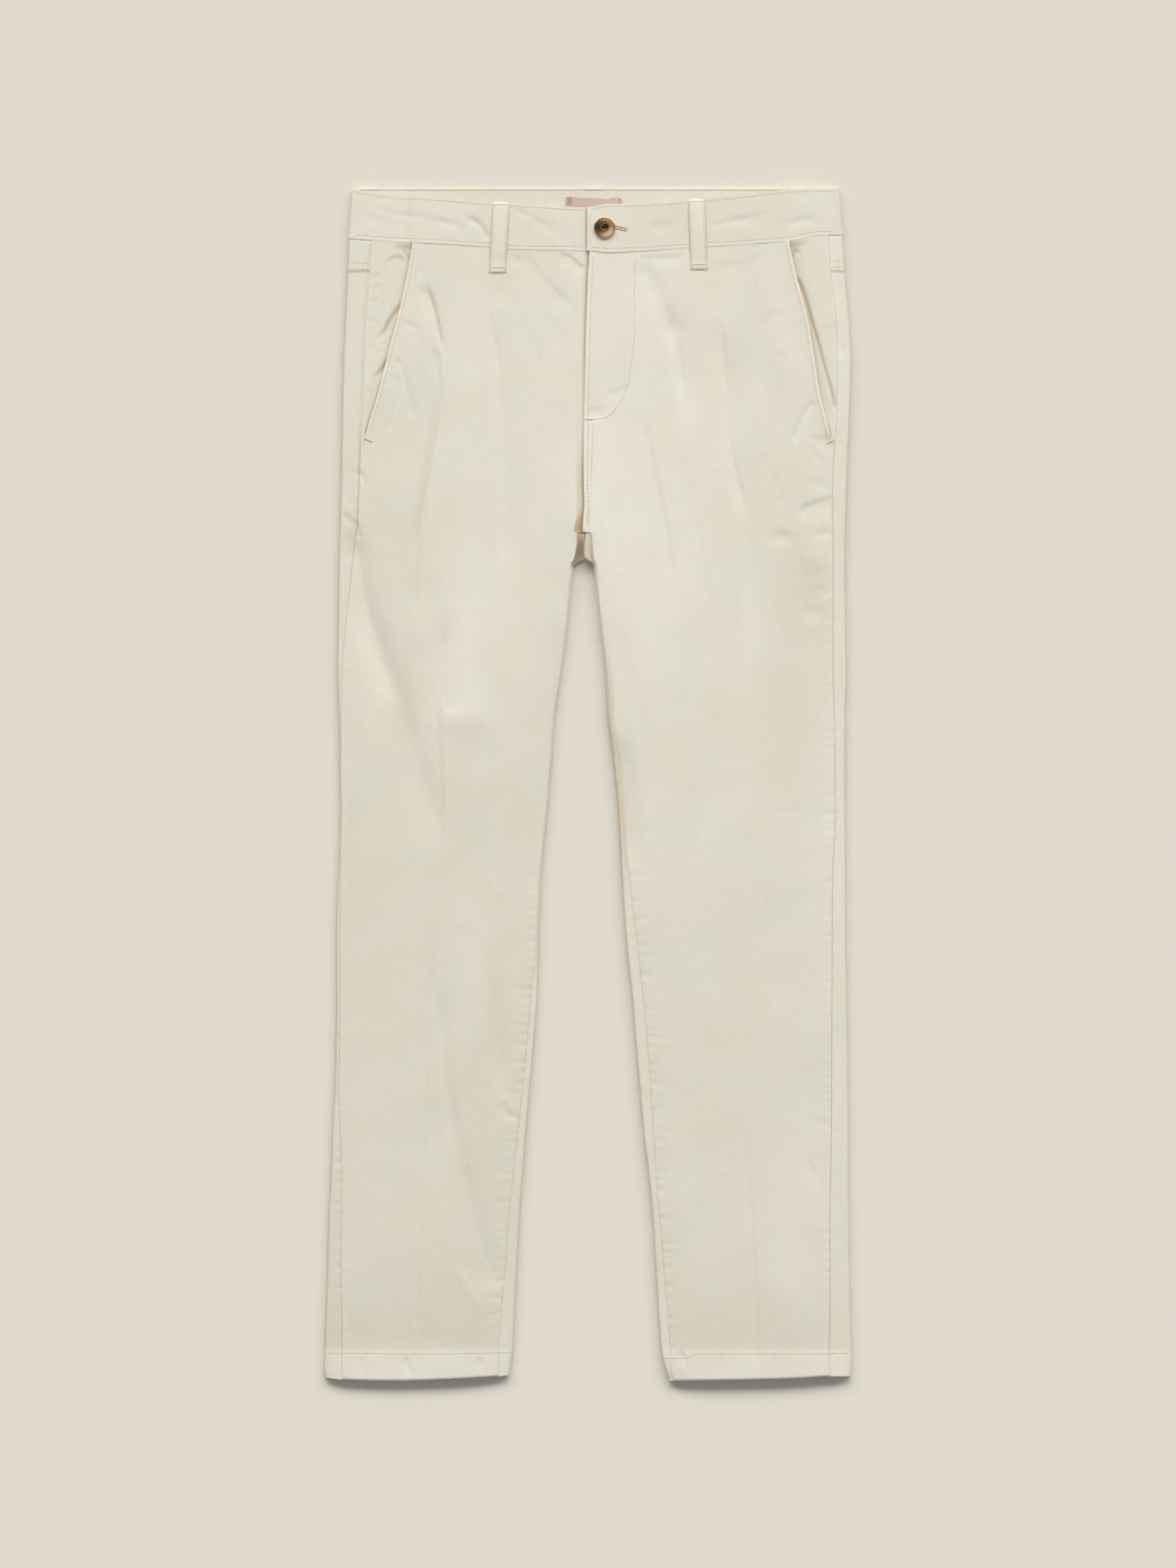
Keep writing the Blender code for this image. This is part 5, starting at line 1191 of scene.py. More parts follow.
def front_panel(name, leg):
    levels = row_levels(1.9)
    under = 2.6 if leg.inward > 0 else 0.0           # the left front runs on under the right one
    start = leg.start(levels) + leg.inward * 0.08
    stop = leg.inseam(levels) - leg.inward * 0.08 + under * smooth((levels - 207.5) / 3.0)
    steps = spread((stop - start) * leg.inward, NEAR_EDGE, 143)
    x = start[:, None] + leg.inward * steps
    y = settle(levels[:, None], x, leg)
    z = leg.front(x, y)
    # the hem's lower edge is rounded
    z = z - 0.45 * np.exp(-((levels[:, None] - HEM_Y) / 0.7) ** 2)
    outer = np.stack([x, y, z], axis=-1)
    inner = outer.copy()
    thick = CLOTH + 0.45 * smooth((HEM_LEVEL_Y + 1.0 - y) / 1.6)
    inner[..., 2] -= thick
    return wall_half(name, outer, inner, np.stack([x, y], axis=-1), FINISH["twill_" + leg.name], wear_and_painted_shading=leg.wear_and_painted_shading(x, y, "front"))


# ----------------------------------------------------------------------------- back panels
def back_sections(leg, levels, seam_inset, seam_side):
    """Columns of the part that wraps one fold. seam_side 'outer' or 'inner'."""
    tau = np.linspace(1.0, 0.0, 15)
    turn = np.linspace(0.0, 0.5 * math.pi, 6)[1:]
    if seam_side == "outer":
        edge_x, sign = leg.outer(levels), leg.inward
    else:
        edge_x, sign = leg.inner(levels), -leg.inward
        tau = np.linspace(1.0, 0.0, 11)
    inset = np.concatenate([seam_inset[:, None] * tau[None, :] ** 2,
                            np.broadcast_to(RIM_Z * (1 - np.cos(turn)), (len(levels), len(turn)))], axis=1)
    low = np.concatenate([np.full(len(tau), np.nan), RIM_Z * (1 - np.sin(turn))])
    return edge_x[:, None] + sign * inset, low


def underside(x, y):
    """Flat where it rests, riding up over the belt loops near the waist."""
    return back_lift(x, y)


def back_panel(name, leg):
    levels = row_levels(2.4)
    levels = levels[levels <= YOKE_SIDE_Y + 0.01]
    levels[0] = YOKE_SIDE_Y
    outer_inset = (leg.side(levels) - leg.inward * 0.08 - leg.outer(levels)) * leg.inward
    inner_inset = np.maximum(0.4, (leg.inner(levels) - leg.inseam(levels) - leg.inward * 0.08) * leg.inward)
    x_out, low_out = back_sections(leg, levels, outer_inset, "outer")
    x_in, low_in = back_sections(leg, levels, inner_inset, "inner")
    x_in, low_in = x_in[:, ::-1], low_in[::-1]
    closed = levels < CROTCH_Y
    end = np.where(closed, x_in[:, 0], SEAT_X - leg.inward * 0.1)
    share = np.linspace(0.0, 1.0, 22)[1:-1]
    x_floor = x_out[:, -1:] + (end - x_out[:, -1])[:, None] * np.append(share, 1.0)[None, :]
    x_inner = np.where(closed[:, None], x_in[:, 1:], x_floor[:, -1:])
    x = np.concatenate([x_out, x_floor, x_inner], axis=1)
    low = np.concatenate([low_out, np.full(x_floor.shape[1], 0.0), low_in[1:]])
    on_top = np.isnan(low)
    lev = np.broadcast_to(levels[:, None], x.shape)
    # the yoke seam slopes towards the seat underneath
    span = np.clip((x - leg.outer(lev)) * leg.inward / abs(SEAT_X - leg.outer(lev)), 0.0, 1.0)
    span = np.where(on_top[None, :], 0.0, span)
    limit = YOKE_SIDE_Y + (YOKE_SEAT_Y - YOKE_SIDE_Y) * span - 0.1
    y = np.where(lev > 347.5, 347.5 + (lev - 347.5) * (limit - 347.5) / (YOKE_SIDE_Y - 347.5), lev)
    y = settle(y, x, leg, np.where(on_top[None, :], 0.1, 0.9))
    y = np.where(lev > PANEL_LEVEL_Y, lev, y)
    z = np.where(on_top[None, :], leg.strip(x, y), np.where(low[None, :] > 0, low[None, :], 0.0) + underside(x, y))
    outer = np.stack([x, y, z], axis=-1)
    facing_up = normals(outer)
    if facing_up[len(levels) // 2, 30, 2] > 0:
        facing_up = -facing_up
    inner = outer - facing_up * CLOTH
    inner[..., 2] = np.maximum(inner[..., 2], 0.05)
    arc = np.concatenate([np.zeros((len(levels), 1)),
                          np.cumsum(np.linalg.norm(np.diff(outer, axis=1), axis=2), axis=1)], axis=1)
    use = np.ones((len(levels) - 1, x.shape[1] - 1), bool)
    first_inner = x_out.shape[1] + x_floor.shape[1] - 1
    use[:, first_inner:] = (levels[1:] < CROTCH_Y)[:, None] & (levels[:-1] < CROTCH_Y + 0.7)[:, None]
    wear_and_painted_shading = np.where(on_top[None, :], leg.wear_and_painted_shading(x, y, "back"), 0.0)
    return wall(name, outer, inner, np.stack([arc + 400.0, y], axis=-1), FINISH["twill_" + leg.name], use, wear_and_painted_shading=wear_and_painted_shading)


# ------------------------------------------------------------------------------------ yoke
def yoke(name, leg):
    rows = np.concatenate([[0.0, 0.02, 0.05], np.linspace(0.1, 0.93, 12), [0.965, 0.985, 1.0]])
    ref = YOKE_SIDE_Y + rows * (WAIST_Y - YOKE_SIDE_Y)
    inset = (leg.side(ref) - leg.inward * 0.08 - leg.outer(ref)) * leg.inward
    x_out, low_out = back_sections(leg, ref, inset, "outer")
    share = np.linspace(0.0, 1.0, 34)[1:]
    x_floor = x_out[:, -1:] + ((SEAT_X - leg.inward * 0.1) - x_out[:, -1])[:, None] * share[None, :]
    x = np.concatenate([x_out, x_floor], axis=1)
    low = np.concatenate([low_out, np.zeros(x_floor.shape[1])])
    on_top = np.isnan(low)
    base = np.broadcast_to(ref[:, None], x.shape)
    span = np.clip((x - leg.outer(base)) * leg.inward / abs(SEAT_X - leg.outer(base)), 0.0, 1.0)
    span = np.where(on_top[None, :], 0.0, span)
    bottom = YOKE_SIDE_Y + (YOKE_SEAT_Y - YOKE_SIDE_Y) * span + 0.1
    top = np.where(on_top[None, :], cubic(*WAIST_SEAM, x), cubic(*BACK_WAIST_SEAM, x)) - 0.1
    y = bottom + (top - bottom) * rows[:, None]
    z = np.where(on_top[None, :], leg.strip(x, np.minimum(y, 446.0)), low[None, :] + underside(x, y))
    # seams at both ends
    dip = 0.35 * np.exp(-((y - bottom) / 0.9) ** 2) + 0.3 * np.exp(-((top - y) / 0.9) ** 2)
    z = z - np.where(on_top[None, :], dip * smooth((x - leg.outer(base)) * leg.inward / 3.0), 0.0)
    outer = np.stack([x, y, z], axis=-1)
    up = normals(outer)
    if up[8, 30, 2] > 0:
        up = -up
    inner = outer - up * CLOTH
    inner[..., 2] = np.maximum(inner[..., 2], 0.05)
    arc = np.concatenate([np.zeros((len(rows), 1)),
                          np.cumsum(np.linalg.norm(np.diff(outer, axis=1), axis=2), axis=1)], axis=1)
    # painted shade along the yoke's seams at both ends
    ends = np.exp(-((y - bottom) / 1.0) ** 2) + np.exp(-((top - y) / 1.0) ** 2)
    wear_and_painted_shading = np.where(on_top[None, :], leg.wear_and_painted_shading(x, y, "back") - 0.6 * ends, 0.0)
    return wall(name, outer, inner, np.stack([arc + 400.0, y + 3.0], axis=-1), FINISH["twill_" + leg.name], wear_and_painted_shading=wear_and_painted_shading)


# ------------------------------------------------------------------------------- waistband
BAND = 1.4
LAP_END = -0.7


def band_height(x, y, leg):
    """Outside of the front layer of the band."""
    seam = cubic(*WAIST_SEAM, x)
    level = np.clip((y - seam) / 40.0, 0.0, 1.1)
    slant = -3.0 * level if leg.inward > 0 else 3.4 * level
    mouth = smooth((x - leg.mouth(440.0)) * leg.inward / 6.0 + 0.7)
    base = leg.base(x + slant, 446.0 + 0 * y) + leg.layers(x, 440.0 + 0 * y) * mouth + 0.20
    if leg.inward < 0:
        base = base + 0.18 * (1.0 - smooth((x - SHIELD_X + 14.0) / 26.0))
    front = cubic(*FRONT_EDGE, x)
    window = smooth((x - leg.outer(446.0) - slant) * leg.inward / 6.0)
    detail = folds(x, y) + 0.06 * NOISE.at(x, y + 40.0, 16.0) + 0.03 * NOISE.at(x + 9.0, y, 6.0)
    detail -= 0.012 * np.exp(-((front - 1.9 - y) / 0.9) ** 2) + 0.012 * np.exp(-((y - seam - 3.4) / 0.9) ** 2)
    detail += 0.10 * np.sin(math.pi * np.clip((y - seam) / 38.0, 0, 1))
    if leg.inward < 0:
        detail -= 0.02 * np.exp(-((x - LAP_END - 2.7) / 0.9) ** 2)
    return base + detail * window


def waistband():
    ends = (0.0, 0.3, 0.8, 1.5, 2.4, 3.6, 5.0)
    tau = np.linspace(1.0, 0.0, 13)[1:]
    turn = np.linspace(0.0, 0.5 * math.pi, 6)[1:]
    lap = 37.4
    depth = np.array([0.13, 0.04, 0.0])
    columns = []
    n_levels = 30

    def levels_of(low, high):
        return spread(high - low, ends, n_levels) + low[:, None]

    grids = []
    for leg, inner_x in ((LEFT, lap), (RIGHT, LAP_END)):
        far = abs(inner_x - leg.outer(446.0))
        d = np.concatenate([np.array([far, far - 0.35, far - 0.9]), np.linspace(far - 1.8, 12.0, int((far - 12) / 1.7)), 12.0 * tau ** 2])
        # edge and end shift with the level, so build per level
        rows = []
        for d_k in d:
            x0 = leg.outer(447.0) + leg.inward * d_k
            rows.append(x0)
        x0 = np.array(rows)
        low = cubic(*WAIST_SEAM, x0) - 0.4
        high = cubic(*FRONT_EDGE, x0)
        if leg is LEFT:
            hidden = smooth((x0 - LAP_END) / 2.5)
            low, high = low + 1.2 * hidden, high - 1.8 * hidden
        y = levels_of(low, high)
        level = (y - low[:, None]) / 40.0
        share = (d / far)[:, None]
        x = x0[:, None] + np.where(leg is LEFT, 3.0, -3.4) * level * (1 - share)
        z = band_height(x, y, leg)
        if leg is LEFT:
            down = smooth((x - LAP_END + 0.8) / 2.4)
            z = z - down * 0.7
            right_top = band_height(np.maximum(x, LAP_END), y, RIGHT)
            z = np.where(x > LAP_END - 0.5, np.minimum(z, right_top - BAND - 0.25), z)
        grids.append(np.stack([x, y, z], axis=-1))
    left, right = grids
    # the folds and the back layer
    def low_fold(leg, front_last):
        out = []
        for angle in turn:
            share = math.sin(angle)
            x_edge = front_last[:, 0]
            back_low = cubic(*BACK_WAIST_SEAM, x_edge) + 0.1
            y_front = front_last[:, 1]
            y_back = np.linspace(0, 1, n_levels)
            y_back = spread(np.array([BACK_EDGE_Y - back_low[0]]), ends, n_levels)[0] + back_low[0]
            y = y_front * (1 - share) + y_back * share
            x = x_edge + leg.inward * RIM_Z * (1 - math.cos(angle))
            z = np.full(n_levels, RIM_Z * (1 - math.sin(angle)))
            out.append(np.stack([x, y, z], axis=-1))
        return np.array(out)
    fold_left, fold_right = low_fold(LEFT, left[-1]), low_fold(RIGHT, right[-1])
    a, b = fold_left[-1], fold_right[-1]
    count = 130
    share = np.linspace(0.0, 1.0, count + 2)[1:-1][:, None]
    x = a[None, :, 0] * (1 - share) + b[None, :, 0] * share
    low = cubic(*BACK_WAIST_SEAM, x[:, 0]) + 0.1
    y = spread(BACK_EDGE_Y - low, ends, n_levels) + low[:, None]
    z = back_lift(x, 470.0 + 0 * y) + 0 * y
    back = np.stack([x, y, z], axis=-1)
    outer = np.concatenate([left, fold_left, back, fold_right[::-1], right[::-1]])
    n = normals(outer)
    middle = len(left) + len(fold_left) + count // 2
    if n[middle, 15, 2] > 0:
        n = -n
    roll = np.zeros(outer.shape[:2])
    roll[:, :3] += depth
    roll[:, -3:] += depth[::-1]
    roll[:3, :] = np.maximum(roll[:3, :], depth[:, None])
    roll[-3:, :] = np.maximum(roll[-3:, :], depth[::-1][:, None])
    inner = outer - n * BAND
    inner = inner + n * roll[..., None] * 0.8
    outer = outer - n * roll[..., None]
    inner[..., 2] = np.maximum(inner[..., 2], 0.12)
    arc = np.concatenate([[0.0], np.cumsum(np.linalg.norm(np.diff(outer[:, 15], axis=0), axis=1))])
    uv = np.stack([np.broadcast_to(arc[:, None], outer.shape[:2]), outer[..., 1]], axis=-1)
    x, y = outer[..., 0], outer[..., 1]
    low, high = cubic(*WAIST_SEAM, x), cubic(*FRONT_EDGE, x)
    # pale just above the waist seam; painted shade along the seam line under the band's edge, and along the top edge to
    # dull its highlight
    wear_and_painted_shading = (0.40 * (1.0 - smooth((y - low - 2.2) / 1.2)) - 0.7 * np.exp(-((y - low + 0.4) / 0.5) ** 2)
            - 0.45 * np.exp(-((y - high) / 0.8) ** 2))
    # with the broad painted light and shade, and painted shade in the creases
    wear_and_painted_shading = wear_and_painted_shading + wash_and_painted_shading(x, y) - 0.3 * creases(x, y)
    wear_and_painted_shading[len(left):-len(right)] = 0.0
    # the lap: pale along its end, painted shade at the end itself and on the left band under it
    lap = np.zeros(wear_and_painted_shading.shape)
    lap[-len(right):] = (0.45 * (1.0 - smooth((x - LAP_END - 2.2) / 1.2)) - 1.2 * np.exp(-((x - LAP_END) / 0.5) ** 2))[-len(right):]
    lap[:len(left)] = -0.5 * np.exp(-(np.minimum(x - LAP_END, 0.0) / 2.0) ** 2)[:len(left)]
    return wall("waistband_cloth", outer, inner, uv, FINISH["band"], wear_and_painted_shading=wear_and_painted_shading + lap)


# ------------------------------------------------------------------------- pocket facings
def facing_panel(name, leg):
    levels = np.arange(WAIST_Y, POCKET_END_Y - 7.0, -1.6)
    start = leg.side(levels) + leg.inward * 0.08
    mouth = np.where(levels > 286.7, leg.mouth(np.minimum(levels, 441.0)), leg.mouth(286.7))
    stop = mouth + leg.inward * 13.0
    steps = spread((stop - start) * leg.inward, (0.0, 0.6, 1.4), 46)
    x = start[:, None] + leg.inward * steps
    y = settle(levels[:, None], x)
    y = y + 0.5 * smooth((levels[:, None] - WAIST_Y + 3.0) / 3.0)
    z = leg.facing(x, y)
    over = (x - leg.mouth(y)) * leg.inward
    z = z + 1.15 * smooth((y - cubic(*WAIST_SEAM, x) + 6.5) / 6.0) * (1.0 - smooth((np.abs(over) - 3.0) / 16.0))
    ceiling = leg.front(x, y) - CLOTH - 0.18
    z = np.where(over > -1.0, np.minimum(z, ceiling * smooth((over + 1.0) / 1.0) + z * (1 - smooth((over + 1.0) / 1.0))), z)
    outer = np.stack([x, y, z], axis=-1)
    inner = outer.copy()
    inner[..., 2] -= 0.7
    return wall(name, outer, inner, np.stack([x + 150.0, y], axis=-1), FINISH["inside"], wear_and_painted_shading=leg.wear_and_painted_shading(x, y, "facing"))


def shield_panel():
    levels = np.linspace(437.0, SHIELD_END_Y, 60)
    left = RIGHT.inner(levels) - 0.4
    right = 24.0 + (SHIELD_X - 24.0) * smooth((levels - SHIELD_END_Y) / 40.0)
    x = left[:, None] + (right - left)[:, None] * np.linspace(0.0, 1.0, 16)
    y = np.broadcast_to(levels[:, None], x.shape) + 0.0
    ceiling = np.minimum(RIGHT.front(x, y), LEFT.front(np.minimum(x, LEFT.inner(y) + 2.0), y)) - 2 * CLOTH - 0.5
    z = np.minimum(ceiling, 2.9) + 0 * x
    outer = np.stack([x, y, z], axis=-1)
    inner = outer.copy()
    inner[..., 2] -= 0.8
    return wall("fly_shield_cloth", outer, inner, np.stack([x, y], axis=-1), FINISH["inside"])


# ------------------------------------------------------------------------------ belt loops
def loop_surface(leg, x_top, x_bottom):
    """Gives the outside of a front loop at (share down, share across)."""
    y_top = float(cubic(*FRONT_EDGE, x_top)) + 0.7

    def at(down, across):
        x = x_top + (x_bottom - x_top) * down + across * LOOP_WIDE
        y = y_top - (LOOP_LONG + 1.8) * down
        seam = cubic(*WAIST_SEAM, x)
        on_band = band_height(x, np.maximum(y, seam + 1.0), leg)
        on_panel = leg.front(x, np.minimum(y, seam - 1.0))
        rest = on_band + (on_panel - on_band) * smooth((seam - 0.5 - y) / 9.0)
        bulge = 0.35 * np.sin(math.pi * np.clip(down / 0.86, 0.0, 1.0)) ** 1.2
        crown = 0.22 * (1.0 - (2.0 * across) ** 2)
        grooves = -0.13 * np.exp(-((np.abs(across) - 0.36) / 0.06) ** 2)
        top_tuck = -0.4 * np.exp(-(down / 0.05) ** 2)
        return x, y, rest + 0.48 + bulge + crown + grooves + top_tuck
    return at


LOOPS = (("belt_loop_front_left", LEFT, -71.2, -74.3), ("belt_loop_front_right", RIGHT, 88.9, 91.0))


def front_loop(name, leg, x_top, x_bottom):
    at = loop_surface(leg, x_top, x_bottom)
    down = np.concatenate([[0.0, 0.006, 0.016, 0.03], np.linspace(0.05, 0.95, 46), [0.97, 0.984, 0.994, 1.0]])
    across = np.concatenate([[-0.5, -0.485, -0.455], np.linspace(-0.41, 0.41, 15), [0.455, 0.485, 0.5]])
    d, a = np.meshgrid(down, across, indexing="ij")
    x, y, z = at(d, a)
    roll = 0.35 * np.exp(-((0.5 - np.abs(a)) / 0.035) ** 2)
    roll = np.maximum(roll, 0.35 * np.exp(-((1.0 - d) / 0.012) ** 2))
    roll = np.maximum(roll, 0.35 * np.exp(-(d / 0.012) ** 2))
    outer = np.stack([x, y, z - roll], axis=-1)
    inner = np.stack([x, y, z - 0.6 + roll * 0.3], axis=-1)
    # painted shade along the loop's sides and lower end; slightly pale between
    wear_and_painted_shading = 0.10 * (np.abs(a) < 0.44) - 1.0 * np.exp(-((0.5 - np.abs(a)) / 0.055) ** 2) - 1.1 * np.exp(-((1.0 - d) / 0.014) ** 2)
    return wall(name + "_cloth", outer, inner, np.stack([a * LOOP_WIDE, -d * (LOOP_LONG + 1.8)], axis=-1), FINISH["loop"], wear_and_painted_shading=wear_and_painted_shading)


def back_loop(name, x_mid):
    y_top = BACK_EDGE_Y - 0.3
    a, d = np.meshgrid(np.linspace(-0.5, 0.5, 11), np.linspace(0.0, 1.0, 24), indexing="ij")
    x, y = x_mid + a * LOOP_WIDE, y_top - d * LOOP_LONG
    rim = 0.3 * np.exp(-((0.5 - np.abs(a)) / 0.05) ** 2)
    outer = np.stack([x, y, 0.0 * x + rim * 0.6], axis=-1)
    inner = np.stack([x, y, 1.25 - rim + 0.0 * x], axis=-1)
    return wall(name + "_cloth", outer, inner, np.stack([a * LOOP_WIDE, d * LOOP_LONG], axis=-1), FINISH["loop"])


# --------------------------------------------------------------------------- label, button
def label_piece():
    u = np.linspace(0.0, 1.0, 70)
    v = np.concatenate([[0.0, 0.03, 0.08], np.linspace(0.14, 0.86, 16), [0.92, 0.97, 1.0]])
    uu, vv = np.meshgrid(u, v, indexing="ij")
    x = LABEL["x0"] + (LABEL["x1"] - LABEL["x0"]) * uu
    y = LABEL["y0"] + (LABEL["y1"] - LABEL["y0"]) * vv - 1.2 * uu
    z = BAND + 0.75 + back_lift(x, 470.0 + 0 * y) + 0.12 * NOISE.at(x, y, 9.0) + 0.25 * np.sin(math.pi * vv)
    roll = 0.25 * np.exp(-(np.minimum(vv, 1 - vv) / 0.04) ** 2)
    outer = np.stack([x, y, z - roll], axis=-1)
    inner = np.stack([x, y, z - 0.5 + 0 * roll], axis=-1)
    return wall("label_satin", outer, inner, np.stack([x, y], axis=-1), FINISH["satin"])


def button_piece():
    """Turned bronze metal: a rim, a low dome with fine flutes, and a sunk ring round a small boss."""
    cx, cy, r, h = BUTTON["x"], BUTTON["y"], BUTTON["radius"], BUTTON["height"]
    base = float(band_height(np.array(cx), np.array(cy), RIGHT)) + 0.1
    profile = [(0.0, 0.0), (0.80, 0.0), (0.93, 0.06), (0.985, 0.22), (1.0, 0.36), (0.992, 0.48), (0.965, 0.56),
               (0.93, 0.60), (0.89, 0.605), (0.865, 0.60), (0.84, 0.62), (0.80, 0.66), (0.74, 0.71), (0.68, 0.755),
               (0.62, 0.795), (0.56, 0.83), (0.50, 0.86), (0.44, 0.885), (0.38, 0.905), (0.33, 0.90), (0.30, 0.86),
               (0.275, 0.76), (0.25, 0.62), (0.22, 0.54), (0.18, 0.51), (0.14, 0.53), (0.09, 0.57), (0.0, 0.58)]
    sides = 96
    angle = np.arange(sides + 1) * 2 * math.pi / sides
    points, uv = [], []
    ring_rows = []
    for rad, up in profile:
        if rad == 0.0:
            ring_rows.append(np.full(sides, len(points)))
            points.append((cx, cy, base + up * h))
            uv.append((0.0, 0.0))
            continue
        row = []
        for k in range(sides):
            a = angle[k]
            lift = 0.0
            if 0.53 < rad < 0.87:
                lift = 0.022 * h * math.cos(24 * a) * math.exp(-((rad - 0.72) / 0.09) ** 2)
            row.append(len(points))
            points.append((cx + rad * r * math.cos(a), cy + rad * r * math.sin(a), base + up * h + lift))
            uv.append((rad * r * math.cos(a), rad * r * math.sin(a)))
        ring_rows.append(np.array(row))
    quads, tris = [], []
    for low, high in zip(ring_rows, ring_rows[1:]):
        nxt = np.roll(np.arange(sides), -1)
        if low[0] == low[1]:
            tris.append(np.stack([low, high[nxt], high], axis=-1))
        elif high[0] == high[1]:
            tris.append(np.stack([low, low[nxt], high], axis=-1))
        else:
            quads.append(np.stack([low, low[nxt], high[nxt], high], axis=-1))
    piece = build("button_metal", np.array(points, float), quads + tris, np.array(uv, float), FINISH["metal"], 70.0)
    # a much darker bronze in the sunk centre
    piece.data.materials.append(FINISH["dark_metal"])
    for face in piece.data.polygons:
        away = math.hypot(face.center[0] - cx * MM, face.center[1] - cy * MM)
        if away < 0.345 * r * MM:
            face.material_index = 1
    return piece


# -------------------------------------------------------------------------------- stitches
def grain():
    """One stitch along +X: a small spindle, 1 long, 1 wide and 1 high."""
    stations = ((-0.5, 0.0), (-0.36, 0.78), (0.0, 1.0), (0.36, 0.78), (0.5, 0.0))
    sides = 6
    points, rings = [], []
    for along, size in stations:
        if size == 0.0:
            rings.append([len(points)] * sides)
            points.append((along, 0.0, -0.15))
            continue
        ring = []
        for k in range(sides):
            a = 2 * math.pi * k / sides
            ring.append(len(points))
            points.append((along, 0.5 * size * math.cos(a), 0.5 * size * math.sin(a) - 0.3 * (1 - size)))
        rings.append(ring)
    tris = []
    for low, high in zip(rings, rings[1:]):
        for k in range(sides):
            n = (k + 1) % sides
            if low[0] == low[1]:
                tris.append((low[0], high[k], high[n]))
            elif high[0] == high[1]:
                tris.append((low[k], high[0], low[n]))
            else:
                tris += [(low[k], high[k], high[n]), (low[k], high[n], low[n])]
    return np.array(points), np.array(tris)


GRAIN_POINTS, GRAIN_FACES = grain()
STITCHES = {}


def stitch(group, centre, ahead, length, wide, high):
    """Adds stitches: centres and directions as (n, 3) arrays in mm."""
    centre, ahead = np.atleast_2d(centre), np.atleast_2d(ahead)
    ahead = ahead / np.linalg.norm(ahead, axis=1, keepdims=True)
    up = np.array([0.0, 0.0, 1.0])
    across = np.cross(up, ahead)
    across /= np.maximum(np.linalg.norm(across, axis=1, keepdims=True), 1e-9)
    up = np.cross(ahead, across)
    length, wide, high = (np.broadcast_to(np.asarray(v, float), (len(centre),))[:, None, None] for v in (length, wide, high))
    p = GRAIN_POINTS[None]
    points = (centre[:, None] + ahead[:, None] * p[..., :1] * length + across[:, None] * p[..., 1:2] * wide
              + up[:, None] * p[..., 2:] * high)
    STITCHES.setdefault(group, []).append(points)


def sew(group, path, height, pitch=3.0, fill=0.62, wide=0.6, high=0.26, lift=0.07, seed=1, slant=0.0, pit=1.0):
    """A row of stitches along a path, on a surface given by its height."""
    path = np.asarray(path, float)
    reach = lengths(path)
    count = int(reach[-1] / pitch)
    if count < 1:
        return
    rng = np.random.default_rng(seed + int(abs(path[0, 0]) * 7) + count)
    s = (np.arange(count) + 0.5) * reach[-1] / count
    s = s + rng.normal(0.0, 0.06 * pitch, count)
    half = 0.4 * pitch

    def at(s):
        x, y = np.interp(s, reach, path[:, 0]), np.interp(s, reach, path[:, 1])
        return np.stack([x, y, height(x, y)], axis=-1)
    a, b, middle = at(s - half), at(s + half), at(s)
    middle[:, 2] += lift
    ahead = b - a
    turn = slant + rng.normal(0.0, 0.05, count)
    flat = ahead.copy()
    flat[:, 0] = ahead[:, 0] * np.cos(turn) - ahead[:, 1] * np.sin(turn)
    flat[:, 1] = ahead[:, 0] * np.sin(turn) + ahead[:, 1] * np.cos(turn)
    stitch(group, middle, flat, pitch * fill * rng.uniform(0.92, 1.06, count), wide, high)
    # painted shade of the pits the thread goes down: darker grains between the stitches
    ends = at(s[:-1] + 0.5 * np.diff(s))
    ends[:, 2] += 0.13
    stitch("tan_tacks_and_pit_shade", ends, flat[:-1], 0.44 * pitch * pit * rng.uniform(0.7, 1.15, count - 1), 0.90 * pit, 0.16)


def tack(group, centre, direction, long, wide, height, count=16, seed=3):
    """A bar tack: close stitches laid across a short line."""
    rng = np.random.default_rng(seed + int(abs(centre[0])))
    dx, dy = math.cos(math.radians(direction)), math.sin(math.radians(direction))
    t = np.linspace(-0.5, 0.5, count) * long
    x, y = centre[0] + dx * t, centre[1] + dy * t
    z = height(x, y) + 0.22
    points = np.stack([x, y, z], axis=-1)
    lean = rng.normal(0.0, 0.12, count)
    ahead = np.stack([-dy * np.cos(lean) - dx * np.sin(lean), dx * np.cos(lean) - dy * np.sin(lean), 0 * x], axis=-1)
    stitch(group, points, ahead, wide, 0.55, 0.5)


def threads():
    made = []
    for group, blocks in STITCHES.items():
        points = np.concatenate(blocks)
        count, each = points.shape[:2]
        faces = (GRAIN_FACES[None] + (np.arange(count) * each)[:, None, None]).reshape(-1, 3)
        uv = np.tile(np.stack([GRAIN_POINTS[:, 0] * 2.2, GRAIN_POINTS[:, 1] * 0.6], axis=-1), (count, 1))
        uv = uv + np.repeat(np.arange(count) * 1.7, each)[:, None]
        made.append(build("stitches_" + group, points.reshape(-1, 3), [faces], uv,
                          FINISH[dict(tan_label="brown", tan_hole="straw", tan_tacks_and_pit_shade="pit").get(group, "tan" if group.startswith("tan") else "cream")], 80.0))
    return made


def line_of(leg, which, offset, y0, y1, step=2.0):
    """A path beside a seam; offset is towards the inside of the leg."""
    y = np.arange(y0, y1, -step)
    x = getattr(leg, which)(y) + leg.inward * offset
    return np.stack([x, y], axis=-1)


